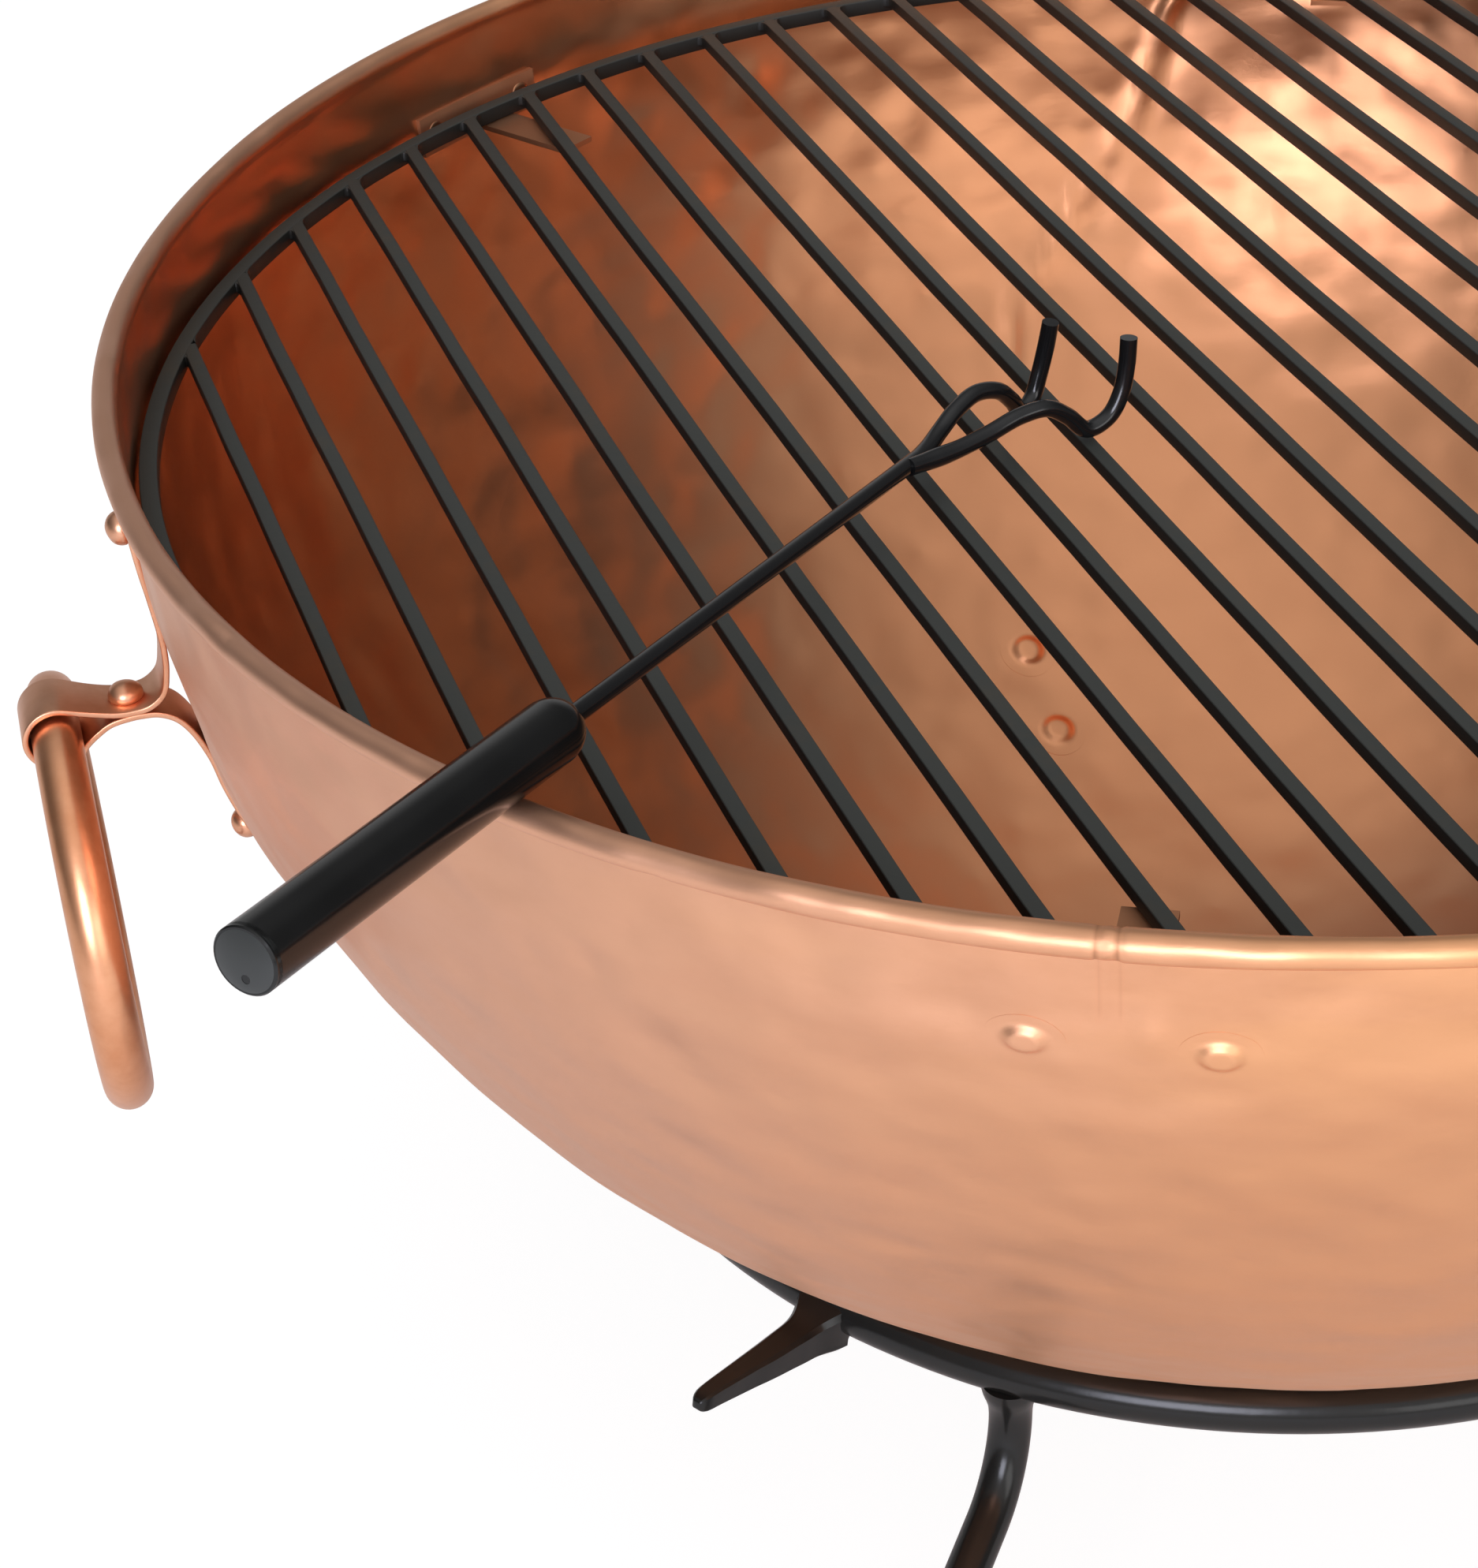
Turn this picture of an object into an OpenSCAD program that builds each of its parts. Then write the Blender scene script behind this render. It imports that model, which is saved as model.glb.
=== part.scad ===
// Fire pit with grate: a hammered copper bowl with a rolled rim and two ring handles,
// a loose steel bar grate on riveted supports, a ring stand on three bent legs,
// and a two-pronged fork that lies over the rim.
// Z is up, the origin is on the floor under the middle of the bowl, X runs through the handles.

/* [Bowl] */
// Height of the rim above the floor
rim_height = 460; // [430:5:560]
// Radius of the rim, outside its rolled edge
rim_r = 381; // [340:1:420]
// Diameter of the rolled edge
roll_d = 8; // [7:0.5:12]
// Diameter of the wire inside the rolled edge
wire_d = 4.8; // [3:0.1:5]
// How far the rolled edge stands out past the wall
roll_overhang = 5.7; // [5:0.1:7]
// Depth of the bowl below its rolled edge, outside
bowl_depth = 347; // [320:1:352]
// Thickness of the copper sheet
sheet_t = 1.5; // [1.2:0.1:2.5]

/* [Rivets] */
// Diameter of a rivet's domed head
rivet_head_d = 10.5; // [8:0.1:12]
// Height of a rivet's domed head
rivet_head_h = 4.6; // [3:0.1:6]
// Diameter of a rivet's shank
rivet_shank_d = 5; // [3:0.1:6]
// Diameter of the hammered end of a rivet
rivet_tail_d = 9.5; // [7:0.1:12]
// Height of the hammered end of a rivet
rivet_tail_h = 1.6; // [1:0.1:3]

/* [Ring handles] */
// Diameter of the handle's tube
handle_tube_d = 16; // [12:0.5:18]
// Radius of the ring, to the middle of its tube
handle_ring_r = 65.5; // [56:0.5:90]
// Distance from the wall out to the middle of the handle's tube
handle_reach = 34.7; // [32:0.1:40]
// Depth of the handle's pivot below the rim
handle_drop = 93.7; // [88:0.1:100]
// Width of the copper strap that holds the handle
strap_w = 18.4; // [14:0.1:24]
// Thickness of that strap
strap_t = 2; // [1.5:0.1:2.5]
// Depth of the strap's upper rivet below the rim
upper_rivet_drop = 28.4; // [24:0.1:34]
// Depth of the strap's lower rivet below the rim
lower_rivet_drop = 144; // [135:0.5:155]
// How far the strap's ends run past its rivets
strap_end = 11; // [8:0.5:14]
// How far the top of the strap's neck lies above the pivot
neck_rise = 3.9; // [3:0.1:5]
// Distance from the pivot in to the rivet that clamps the strap's neck
clamp_reach = 23.7; // [22:0.1:26]

/* [Grate] */
// How far the outside of the grate's ring lies inside the outside of the rim
grate_inset = 38; // [20:0.5:45]
// Side of the square bar that the grate is made of
grate_bar = 6; // [5:0.5:10]
// Number of bars on each side of the middle one
side_bars = 11; // [8:1:16]
// Distance from the outermost bar's middle to the inside of the grate's ring
bar_margin = 31.5; // [12:0.5:40]
// Depth of the grate's top below the rim
grate_drop = 32.5; // [28:0.5:40]
// How far the grate lies turned in the bowl, in degrees
grate_turn = 3.9; // [0:0.1:10]
// Gap to the wall on the side where the loose grate lies nearest to it
grate_gap = 1.1; // [0.5:0.1:10]
// Direction in which the loose grate lies slid, in degrees
grate_slide_angle = 166.5; // [150:0.5:180]

/* [Grate supports] */
// Length of the flange that is riveted to the wall
support_flange_w = 64; // [60:1:80]
// Height of that flange
support_flange_h = 15; // [13:0.5:20]
// Distance between the two rivets of one support
support_rivet_pitch = 47.5; // [40:0.5:52]
// Width of the tongue that carries the grate
support_tongue_w = 15; // [10:0.5:20]
// How far the tongue reaches in past the outside of the grate
support_tongue_reach = 28; // [20:1:40]
// Thickness of a support
support_t = 2; // [1.5:0.1:3]

/* [Bowl stops] */
// Width of a stop under the bowl
stop_w = 22; // [18:1:30]
// Length of a stop, down the bowl's slope
stop_length = 53; // [50:1:60]
// Thickness of a stop
stop_t = 2.5; // [2:0.1:4]
// Distance between the two rivets of one stop
stop_rivet_pitch = 39; // [30:1:39]

/* [Stand] */
// Diameter of the bar in the stand's ring
ring_bar_d = 16; // [12:0.5:20]
// Angle down the bowl's side at which it sits in the ring
seat_angle = 50.6; // [46:0.1:56]
// Number of legs
leg_count = 3; // [3:1:3]
// Diameter of a leg's bar
leg_d = 14; // [10:0.5:15.5]
// Length of the straight stretch at the top of a leg
leg_neck = 17; // [14:0.5:24]
// Radius of a leg's upper bend
upper_bend_r = 32; // [26:1:40]
// Radius of a leg's lower bend
lower_bend_r = 56; // [40:1:60]
// How far a leg bends out from upright, in degrees
leg_bend = 75; // [60:1:80]
// Length of the straight stretch between a leg's two bends
leg_run = 46; // [30:1:60]
// Diameter of a foot pad
foot_d = 34; // [24:1:50]
// Thickness of a foot pad
foot_t = 6; // [4:0.5:10]
// Length of a horn, from the middle of the ring's bar
horn_length = 70; // [50:1:90]
// Side of a horn where it is welded to the ring
horn_root = 13.5; // [8:0.5:14]
// Side of a horn at its tip
horn_tip = 5.5; // [3:0.5:6]
// How far below the middle of the ring's bar a horn starts
horn_drop = 8; // [0:0.5:9]
// How steeply a horn rises from the ring, in degrees
horn_rise = 12.5; // [0:0.5:20]
// Length of the chamfer at a horn's tip
horn_chamfer = 2; // [1:0.5:3]
// How far round the ring a horn stands from its leg, in degrees
horn_offset = -15.5; // [-20:0.5:-12]

/* [Fork] */
// Length of the fork's grip
grip_length = 140; // [110:1:160]
// Diameter of the grip
grip_d = 18; // [16:0.5:24]
// Diameter of the fork's rod
rod_d = 5.5; // [5:0.1:7]
// Distance from the rim to the joint of the two prongs
fork_span = 234.4; // [215:0.1:240]
// Depth of that joint below the rim
fork_joint_drop = 20; // [17:0.1:24]
// Direction that the fork points in, in degrees from the X axis
fork_turn = 46.4; // [44:0.1:49]
// Length of the grip that lies outside the rim
grip_outside = 110; // [80:1:125]
// Where the fork crosses the rim, in degrees from the X axis
fork_rim_angle = 217.7; // [216:0.1:219]
// Length of the grip's rounded shoulder
grip_shoulder = 9; // [6:0.5:12]
// Width of the flat left round the rod at the end of that shoulder
grip_nose = 0.8; // [0.5:0.1:2]
// How deep the rod sits in the grip
rod_seat = 100; // [60:1:110]
// Thickness of the grip's end cap
cap_t = 2.5; // [2:0.1:4]
// Diameter of the small hole in the end cap
cap_hole_d = 1.6; // [1:0.1:3]
// Depth of the prongs' tips below the rim
prong_tip_drop = 2; // [0:0.5:10]
// Length over which the right prong is welded beside the rod
weld_lap = 10; // [8:0.5:14]

/* [Clearances] */
// Gap between pieces that rest on each other
rest_gap = 0.3; // [0.2:0.05:0.5]
// Gap around a rivet's shank in its hole
rivet_gap = 0.05; // [0.02:0.01:0.1]
// Gap between sheets that are riveted together
lap_gap = 0.05; // [0.02:0.01:0.1]
// Gap between a rivet's heads and the curved sheets they hold
head_gap = 0.15; // [0.1:0.01:0.3]
// Gap between a stop and the stand's ring, along the wall
stop_gap = 1; // [0.5:0.1:3]

/* [Hidden] */
$fn = 96;
eps = 0.01;
// A dressed joint between two stretches of bar stands this far proud
weld_lip = 0.1;

// Where the repeated pieces stand, as angles from the X axis
handle_angles = [180, 0];
support_angles = [63, 124, 242.5, 303];
stop_angles = [92.5, 212.5, 332.5];
leg_angles = [for (i = [0:leg_count - 1]) 230 + i * 360 / leg_count];
// Length of the cutters that make the rivets' holes
hole_reach = 60;

// The wall: half an ellipse below the rolled edge, upright above it
wall_ro = rim_r - roll_overhang;
wall_top = rim_height - roll_d;
function wall_slope(h) = asin(min(1, max(0, (wall_top - h) / bowl_depth)));
function wall_r(h, inset = 0) =
    let (s = (wall_top - h) / (bowl_depth - inset))
    h > wall_top ? wall_ro - inset : (wall_ro - inset) * sqrt(max(0, 1 - s * s));
// How far the wall's outward normal points below the horizontal
function wall_dip(h) =
    let (a = wall_slope(h))
    h > wall_top ? 0 : atan2(sin(a) / bowl_depth, cos(a) / wall_ro);

// The stand's ring touches the wall at seat_angle, one resting gap away
seat_reach = ring_bar_d / 2 + rest_gap;
seat_h = wall_top - bowl_depth * sin(seat_angle);
seat_dip = atan2(sin(seat_angle) / bowl_depth, cos(seat_angle) / wall_ro);
ring_r = wall_ro * cos(seat_angle) + seat_reach * cos(seat_dip);
ring_h = seat_h - seat_reach * sin(seat_dip);

// The grate and what carries it
grate_r = rim_r - grate_inset;
grate_top = rim_height - grate_drop;
grate_bottom = grate_top - grate_bar;
grate_slide = wall_r(grate_bottom, sheet_t) - grate_r - grate_gap;
grate_middle = grate_slide * [cos(grate_slide_angle), sin(grate_slide_angle), 0];
tongue_top = grate_bottom - rest_gap;
support_mid = grate_bottom;
bar_pitch = (grate_r - grate_bar - bar_margin) / side_bars;
bar_count = 2 * side_bars + 1;

// The handle's pivot, in the upright plane through the bowl's axis
pivot_r = wall_ro + handle_reach;
pivot_h = rim_height - handle_drop;
// The curved tube needs a little more room than its own radius inside the straight loop
tube_sag = handle_ring_r - sqrt(handle_ring_r * handle_ring_r - strap_w * strap_w / 4);
loop_ri = handle_tube_d / 2 + tube_sag + rest_gap;
loop_ro = loop_ri + strap_t;
loop_rm = loop_ri + strap_t / 2;
// The two layers of the strap between the loop and the wall
neck_top_h = pivot_h + neck_rise;
neck_low_h = neck_top_h - strap_t - lap_gap * 2;
clamp_rivet_r = pivot_r - clamp_reach;

// The fork's own line: it rests on the rim, and its prongs rest on the grate
roll_mid_r = rim_r - roll_d / 2;
fork_slope = atan2(grip_d / 2 + rest_gap + fork_joint_drop, fork_span);
fork_rim_h = rim_height + grip_d / 2 / cos(fork_slope) + rest_gap;
prong_low_h = grate_top + rod_d / 2 + rest_gap;
joint_h = fork_rim_h - fork_span * tan(fork_slope);

function bar_name(i) = str("grate_bar_", i < 9 ? "0" : "", i + 1);
function copies(stem, n) = [for (i = [1:n]) str(stem, i)];

copper = [0.80, 0.50, 0.34];
bright_copper = [0.90, 0.60, 0.42];
black_steel = [0.20, 0.19, 0.17];
grate_steel = [0.26, 0.27, 0.25];
grip_black = [0.08, 0.08, 0.08];
cap_grey = [0.26, 0.27, 0.25];

// ---- Helpers ----

function unit(v) = v / norm(v);
function left_of(v) = [-v[1], v[0]];
// Offset direction at point i of a path, long enough to keep the strap's thickness in a bend
function miter(p, i) =
    let (before = i > 0 ? unit(p[i] - p[i - 1]) : unit(p[1] - p[0]))
    let (after = i < len(p) - 1 ? unit(p[i + 1] - p[i]) : before)
    let (n = left_of(before) + left_of(after))
    2 * n / (n * n);

// A strap of thickness t along the path p, as a flat outline
module strap_outline(p, t) {
    polygon(concat(
        [for (i = [0:len(p) - 1]) p[i] + miter(p, i) * t / 2],
        [for (i = [len(p) - 1:-1:0]) p[i] - miter(p, i) * t / 2]
    ));
}

// Draws its flat children upright in the plane through the bowl's axis, width wide
module upright(width) {
    rotate([90, 0, 0])
        linear_extrude(height = width, center = true)
            children();
}

// Puts its children on the wall's outside at height h, with Z along the outward normal
module on_wall(angle, h) {
    rotate([0, 0, angle])
        translate([wall_r(h), 0, h])
            rotate([0, 90 + wall_dip(h), 0])
                children();
}

// A domed head with its flat face at Z = 0
module rivet_head(d, height) {
    ball_r = (d * d / 4 + height * height) / (2 * height);
    arc = acos((ball_r - height) / ball_r);
    rotate_extrude()
        polygon(concat(
            [[0, 0]],
            [for (i = [0:8]) ball_r * [sin(arc * (1 - i / 8)), cos(arc * (1 - i / 8))]
                + [0, height - ball_r]]
        ));
}

// A rivet whose head sits on Z = 0 and whose shank holds grip of metal below it
module rivet(grip) {
    translate([0, 0, head_gap])
        rivet_head(rivet_head_d, rivet_head_h);
    translate([0, 0, -grip - head_gap - eps])
        cylinder(d = rivet_shank_d, h = grip + 2 * head_gap + 2 * eps);
    translate([0, 0, -grip - head_gap])
        mirror([0, 0, 1])
            rivet_head(rivet_tail_d, rivet_tail_h);
}

module rivet_hole() {
    cylinder(r = rivet_shank_d / 2 + rivet_gap, h = hole_reach, center = true);
}

// A straight round bar from a to b
module bar(a, b, d) {
    v = b - a;
    translate(a)
        rotate([0, acos(v[2] / norm(v)), atan2(v[1], v[0])])
            cylinder(d = d, h = norm(v));
}

// A bent round bar through the points p, dressed with a ball at each inner point
module bent_bar(p, d) {
    for (i = [0:len(p) - 2])
        bar(p[i], p[i + 1], d);
    for (i = [1:len(p) - 2])
        translate(p[i])
            sphere(d = d + 2 * weld_lip);
}

// ---- Bowl ----

wall_steps = 40;

module wall_outline() {
    polygon(concat(
        [[wall_ro, wall_top + roll_d / 2]],
        [for (i = [0:wall_steps]) let (a = 90 * i / wall_steps)
            [wall_ro * cos(a), wall_top - bowl_depth * sin(a)]],
        [for (i = [wall_steps:-1:0]) let (a = 90 * i / wall_steps)
            [(wall_ro - sheet_t) * cos(a), wall_top - (bowl_depth - sheet_t) * sin(a)]],
        [[wall_ro - sheet_t, wall_top + roll_d / 2]]
    ));
}

// A ring of round section inside the rolled edge
module roll_ring(d) {
    rotate_extrude()
        translate([roll_mid_r, rim_height - roll_d / 2])
            circle(d = d);
}

module bowl_shell() {
    color(copper)
    difference() {
        union() {
            rotate_extrude()
                wall_outline();
            roll_ring(roll_d);
        }
        roll_ring(wire_d + 2 * rivet_gap);
        all_wall_rivets()
            rivet_hole();
    }
}

module rim_wire() {
    color(black_steel)
    roll_ring(wire_d);
}

// ---- Rivet places on the wall ----

support_rivet_turn = asin(support_rivet_pitch / 2 / wall_ro);

module support_rivet_places() {
    for (a = support_angles, side = [-1, 1])
        on_wall(a + side * support_rivet_turn, support_mid)
            children();
}

// A stop's ends and rivets, as angles down the wall from just inside the stand's ring
wall_degrees_per_mm = 180 / PI / ((wall_ro + bowl_depth) / 2);
stop_edge_angle = seat_angle + (ring_bar_d / 2 + stop_gap) * wall_degrees_per_mm;
stop_turn = stop_length * wall_degrees_per_mm;
function stop_height(share) =
    wall_top - bowl_depth * sin(stop_edge_angle + stop_turn * share);
stop_rivet_share = stop_rivet_pitch / stop_length / 2;

module stop_rivet_places() {
    for (a = stop_angles, side = [-1, 1])
        on_wall(a, stop_height(0.5 + side * stop_rivet_share))
            children();
}

module strap_rivet_places() {
    for (a = handle_angles, drop = [upper_rivet_drop, lower_rivet_drop])
        on_wall(a, rim_height - drop)
            children();
}

module all_wall_rivets() {
    support_rivet_places()
        children();
    stop_rivet_places()
        children();
    strap_rivet_places()
        children();
}

module support_rivets() {
    color(bright_copper)
    support_rivet_places()
        rivet(sheet_t + lap_gap + support_t);
}

module stop_rivets() {
    color(bright_copper)
    stop_rivet_places()
        translate([0, 0, stop_t + lap_gap])
            rivet(sheet_t + lap_gap + stop_t);
}

module strap_rivets() {
    color(bright_copper)
    strap_rivet_places()
        translate([0, 0, strap_t + lap_gap])
            rivet(sheet_t + lap_gap + strap_t);
}

// ---- Grate supports ----

// The flange follows the inside of the wall, and the tongue stands in from it
module grate_support(i) {
    flange_low = support_mid - support_flange_h / 2;
    flange_high = support_mid + support_flange_h / 2;
    lap = sheet_t + lap_gap;
    flange_angle = support_flange_w / wall_ro * 180 / PI;
    tongue_in = grate_r - support_tongue_reach;
    color(copper)
    difference() {
        rotate([0, 0, support_angles[i]])
            union() {
                rotate([0, 0, -flange_angle / 2])
                    rotate_extrude(angle = flange_angle)
                        polygon([
                            [wall_r(flange_low, lap), flange_low],
                            [wall_r(flange_high, lap), flange_high],
                            [wall_r(flange_high, lap) - support_t, flange_high],
                            [wall_r(flange_low, lap) - support_t, flange_low]
                        ]);
                intersection() {
                    translate([tongue_in, -support_tongue_w / 2, tongue_top - support_t])
                        cube([wall_ro, support_tongue_w, support_t]);
                    cylinder(r = wall_r(flange_low, lap) - support_t / 2, h = rim_height);
                }
            }
        support_rivet_places()
            rivet_hole();
    }
}

// ---- Bowl stops: copper plates riveted under the bowl, just inside the stand's ring ----

module bowl_stop(i) {
    steps = 6;
    function edge(share, out) =
        let (a = stop_edge_angle + stop_turn * share)
        let (dip = atan2(sin(a) / bowl_depth, cos(a) / wall_ro))
        [wall_ro * cos(a) + out * cos(dip), wall_top - bowl_depth * sin(a) - out * sin(dip)];
    color(copper)
    difference() {
        rotate([0, 0, stop_angles[i]])
            upright(stop_w)
                polygon(concat(
                    [for (k = [0:steps]) edge(k / steps, lap_gap)],
                    [for (k = [steps:-1:0]) edge(k / steps, lap_gap + stop_t)]
                ));
        stop_rivet_places()
            rivet_hole();
    }
}

// ---- Ring handles ----

// The strap in its upright plane: down the wall, out over the tube, back and down the wall
function along_wall(drop_a, drop_b, steps) = [for (i = [0:steps])
    let (h = rim_height - drop_a - (drop_b - drop_a) * i / steps)
    [wall_r(h) + (lap_gap + strap_t / 2) * cos(wall_dip(h)),
        h - (lap_gap + strap_t / 2) * sin(wall_dip(h))]];

pivot = [pivot_r, pivot_h];
// The loop is open between these two angles, where the strap's layers run into it
loop_open = 132;
loop_close = 226;
function on_loop(angle) = pivot + loop_rm * [cos(angle), sin(angle)];

// Upper layer: out of the wall in a bend, level along the neck and up into the loop
strap_upper_path = concat(
    along_wall(upper_rivet_drop - strap_end, handle_drop - neck_rise - 31.4, 5),
    [for (p = [[-3.1, 17], [-2.4, 8], [-1.2, 3], [1.2, 0.7], [4, 0]])
        [wall_ro, neck_top_h] + p],
    [for (p = [[-17.5, -0.1], [-13, 0.2]]) [pivot_r, neck_top_h] + p],
    [on_loop(150) + [-1.2, 0.4], on_loop(loop_open)]
);

// Lower layer: out of the loop, back below the upper layer and down the wall
strap_lower_path = concat(
    [on_loop(loop_close), [pivot_r - 11.4, pivot_h - 3.4]],
    [for (p = [[-14.6, -2.2], [-17, -0.6], [-18.8, 0]]) [pivot_r, neck_low_h] + p],
    [for (p = [[4, 0], [-0.5, -0.9], [-5, -3.6], [-9, -8]]) [wall_ro, neck_low_h] + p],
    along_wall(handle_drop + 14, lower_rivet_drop + strap_end + 1, 6)
);

module handle_strap(angle) {
    color(copper)
    difference() {
        rotate([0, 0, angle])
            union() {
                upright(strap_w)
                    strap_outline(strap_upper_path, strap_t);
                upright(strap_w)
                    strap_outline(strap_lower_path, strap_t);
                translate([pivot_r, 0, pivot_h])
                    rotate([90, 0, 0])
                        strap_loop();
            }
        strap_rivet_places()
            rivet_hole();
        rotate([0, 0, angle])
            translate([clamp_rivet_r, 0, pivot_h])
                rivet_hole();
    }
}

// The round part of the strap, open towards the bowl where its two layers leave
module strap_loop() {
    difference() {
        cylinder(r = loop_ro, h = strap_w, center = true);
        cylinder(r = loop_ri, h = strap_w + 1, center = true);
        linear_extrude(height = strap_w + 1, center = true)
            polygon([
                [0, 0],
                2 * loop_ro * [cos(loop_open), sin(loop_open)],
                2 * loop_ro * [cos(180), sin(180)],
                2 * loop_ro * [cos(loop_close), sin(loop_close)]
            ]);
    }
}

module clamp_rivets() {
    color(bright_copper)
    for (a = handle_angles)
        rotate([0, 0, a])
            translate([clamp_rivet_r, 0, neck_top_h + strap_t / 2])
                rivet(2 * strap_t + 2 * lap_gap);
}

module ring_handle(angle) {
    color(copper)
    rotate([0, 0, angle])
        translate([pivot_r, 0, pivot_h - handle_ring_r])
            rotate([0, 90, 0])
                rotate_extrude()
                    translate([handle_ring_r, 0])
                        circle(d = handle_tube_d);
}

// ---- Grate ----

module grate_ring() {
    color(grate_steel)
    translate(grate_middle)
        rotate_extrude()
            translate([grate_r - grate_bar, grate_bottom])
                square(grate_bar);
}

module grate_bar_piece(i) {
    color(grate_steel)
    translate(grate_middle)
        intersection() {
            rotate([0, 0, grate_turn])
                translate([(i - side_bars) * bar_pitch - grate_bar / 2, -grate_r, grate_bottom])
                    cube([grate_bar, 2 * grate_r, grate_bar]);
            cylinder(r = grate_r - grate_bar - rest_gap, h = rim_height);
        }
}

// ---- Stand ----

module ring_solid(extra = 0) {
    translate([0, 0, ring_h])
        rotate_extrude()
            translate([ring_r, 0])
                circle(r = ring_bar_d / 2 + extra);
}

module stand_ring() {
    color(black_steel)
    ring_solid();
}

// A quarter-like bend of bar in the upright plane, from angle a to angle b around c
module bend(c, r, a, b) {
    translate([c[0], 0, c[1]])
        rotate([90, 0, 0])
            rotate([0, 0, a])
                rotate_extrude(angle = b - a)
                    translate([r, 0])
                        circle(d = leg_d);
}

neck_end = ring_h - leg_neck;
upper_end = [ring_r + upper_bend_r * (1 - cos(leg_bend)), neck_end - upper_bend_r * sin(leg_bend)];
run_end = upper_end + leg_run * [sin(leg_bend), -cos(leg_bend)];
foot_r = run_end[0] + lower_bend_r * (1 - cos(leg_bend));
lower_end_h = run_end[1] - lower_bend_r * sin(leg_bend);

module stand_leg(i) {
    color(black_steel)
    difference() {
        rotate([0, 0, leg_angles[i]])
            union() {
                bar([ring_r, 0, ring_h], [ring_r, 0, neck_end], leg_d);
                bend([ring_r + upper_bend_r, neck_end], upper_bend_r, 180, 180 + leg_bend);
                bar([upper_end[0], 0, upper_end[1]], [run_end[0], 0, run_end[1]], leg_d);
                bend([foot_r - lower_bend_r, lower_end_h], lower_bend_r, 0, leg_bend);
                bar([foot_r, 0, lower_end_h], [foot_r, 0, foot_t], leg_d);
                for (p = [[ring_r, neck_end], upper_end, run_end, [foot_r, lower_end_h]])
                    translate([p[0], 0, p[1]])
                        sphere(d = leg_d + 2 * weld_lip);
            }
        ring_solid(lap_gap);
    }
}

module foot_pad(i) {
    color(black_steel)
    rotate([0, 0, leg_angles[i]])
        translate([foot_r, 0, 0])
            cylinder(d = foot_d, h = foot_t);
}

// A square spike, tapered the same in plan and from the side
module stand_horn(i) {
    taper = [
        [0, -horn_root / 2],
        [horn_length - horn_chamfer, -horn_tip / 2],
        [horn_length, -horn_tip / 4],
        [horn_length, horn_tip / 4],
        [horn_length - horn_chamfer, horn_tip / 2],
        [0, horn_root / 2]
    ];
    color(black_steel)
    difference() {
        rotate([0, 0, leg_angles[i] + horn_offset])
            translate([ring_r, 0, ring_h - horn_drop])
                rotate([0, -horn_rise, 0])
                    intersection() {
                        linear_extrude(height = horn_root, center = true)
                            polygon(taper);
                        upright(horn_root)
                            polygon(taper);
                    }
        ring_solid(lap_gap);
    }
}

// ---- Fork ----

// The fork's own frame: X along it from the rim, Y to its left, Z up
module fork_frame() {
    translate([roll_mid_r * cos(fork_rim_angle), roll_mid_r * sin(fork_rim_angle), 0])
        rotate([0, 0, fork_turn])
            children();
}

function fork_line_h(x) = fork_rim_h - x * tan(fork_slope);
grip_start = -grip_outside;
rod_start = grip_start + (grip_length - rod_seat) * cos(fork_slope);

module along_fork(x) {
    fork_frame()
        translate([x, 0, fork_line_h(x)])
            rotate([0, 90 + fork_slope, 0])
                children();
}

module fork_grip() {
    color(grip_black)
    along_fork(grip_start)
        difference() {
            rotate_extrude()
                polygon(concat(
                    [[0, cap_t], [grip_d / 2, cap_t], [grip_d / 2, grip_length - grip_shoulder]],
                    [for (i = [1:6]) let (a = 15 * i)
                        [grip_d / 2 - (grip_d / 2 - rod_d / 2 - grip_nose) * (1 - cos(a)),
                            grip_length - grip_shoulder * (1 - sin(a))]],
                    [[0, grip_length]]
                ));
            translate([0, 0, grip_length - rod_seat])
                cylinder(d = rod_d + 2 * rivet_gap, h = grip_length);
        }
}

module fork_end_cap() {
    color(cap_grey)
    along_fork(grip_start)
        difference() {
            cylinder(d = grip_d, h = cap_t - lap_gap);
            translate([0, grip_d / 4, -1])
                cylinder(d = cap_hole_d, h = cap_t, $fn = 24);
        }
}

module fork_rod() {
    color(black_steel)
    fork_frame()
        bar([rod_start, 0, fork_line_h(rod_start)], [fork_span, 0, joint_h], rod_d);
}

// Each prong rises over a hump, dips to the grate and turns up to its tip
prong_tip_h = rim_height - prong_tip_drop;
left_prong_path = [
    [fork_span + lap_gap, 0, fork_line_h(fork_span + lap_gap)],
    [fork_span + rod_d, 0, fork_line_h(fork_span + rod_d)],
    [fork_span + 21, -1, joint_h + 5],
    [fork_span + 36, -7, joint_h + 5.5],
    [fork_span + 49, -8, prong_low_h + 1],
    [fork_span + 57, -10, prong_low_h + 3],
    [fork_span + 61, -11, prong_low_h + 10],
    [fork_span + 63, -14, prong_tip_h]
];
// The right prong is welded beside the rod
right_prong_path = [
    [fork_span - weld_lap, -rod_d - rest_gap, fork_line_h(fork_span - weld_lap)],
    [fork_span, -rod_d - rest_gap, joint_h],
    [fork_span + 18, -14, joint_h + 1],
    [fork_span + 36, -25, joint_h + 3],
    [fork_span + 47, -33, prong_low_h + 1],
    [fork_span + 55, -38, prong_low_h + 3],
    [fork_span + 59, -40, prong_low_h + 10],
    [fork_span + 62, -41, prong_tip_h]
];

module fork_prong_left() {
    color(black_steel)
    fork_frame()
        bent_bar(left_prong_path, rod_d);
}

module fork_prong_right() {
    color(black_steel)
    fork_frame()
        bent_bar(right_prong_path, rod_d);
}

// ---- Parts ----

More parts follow.
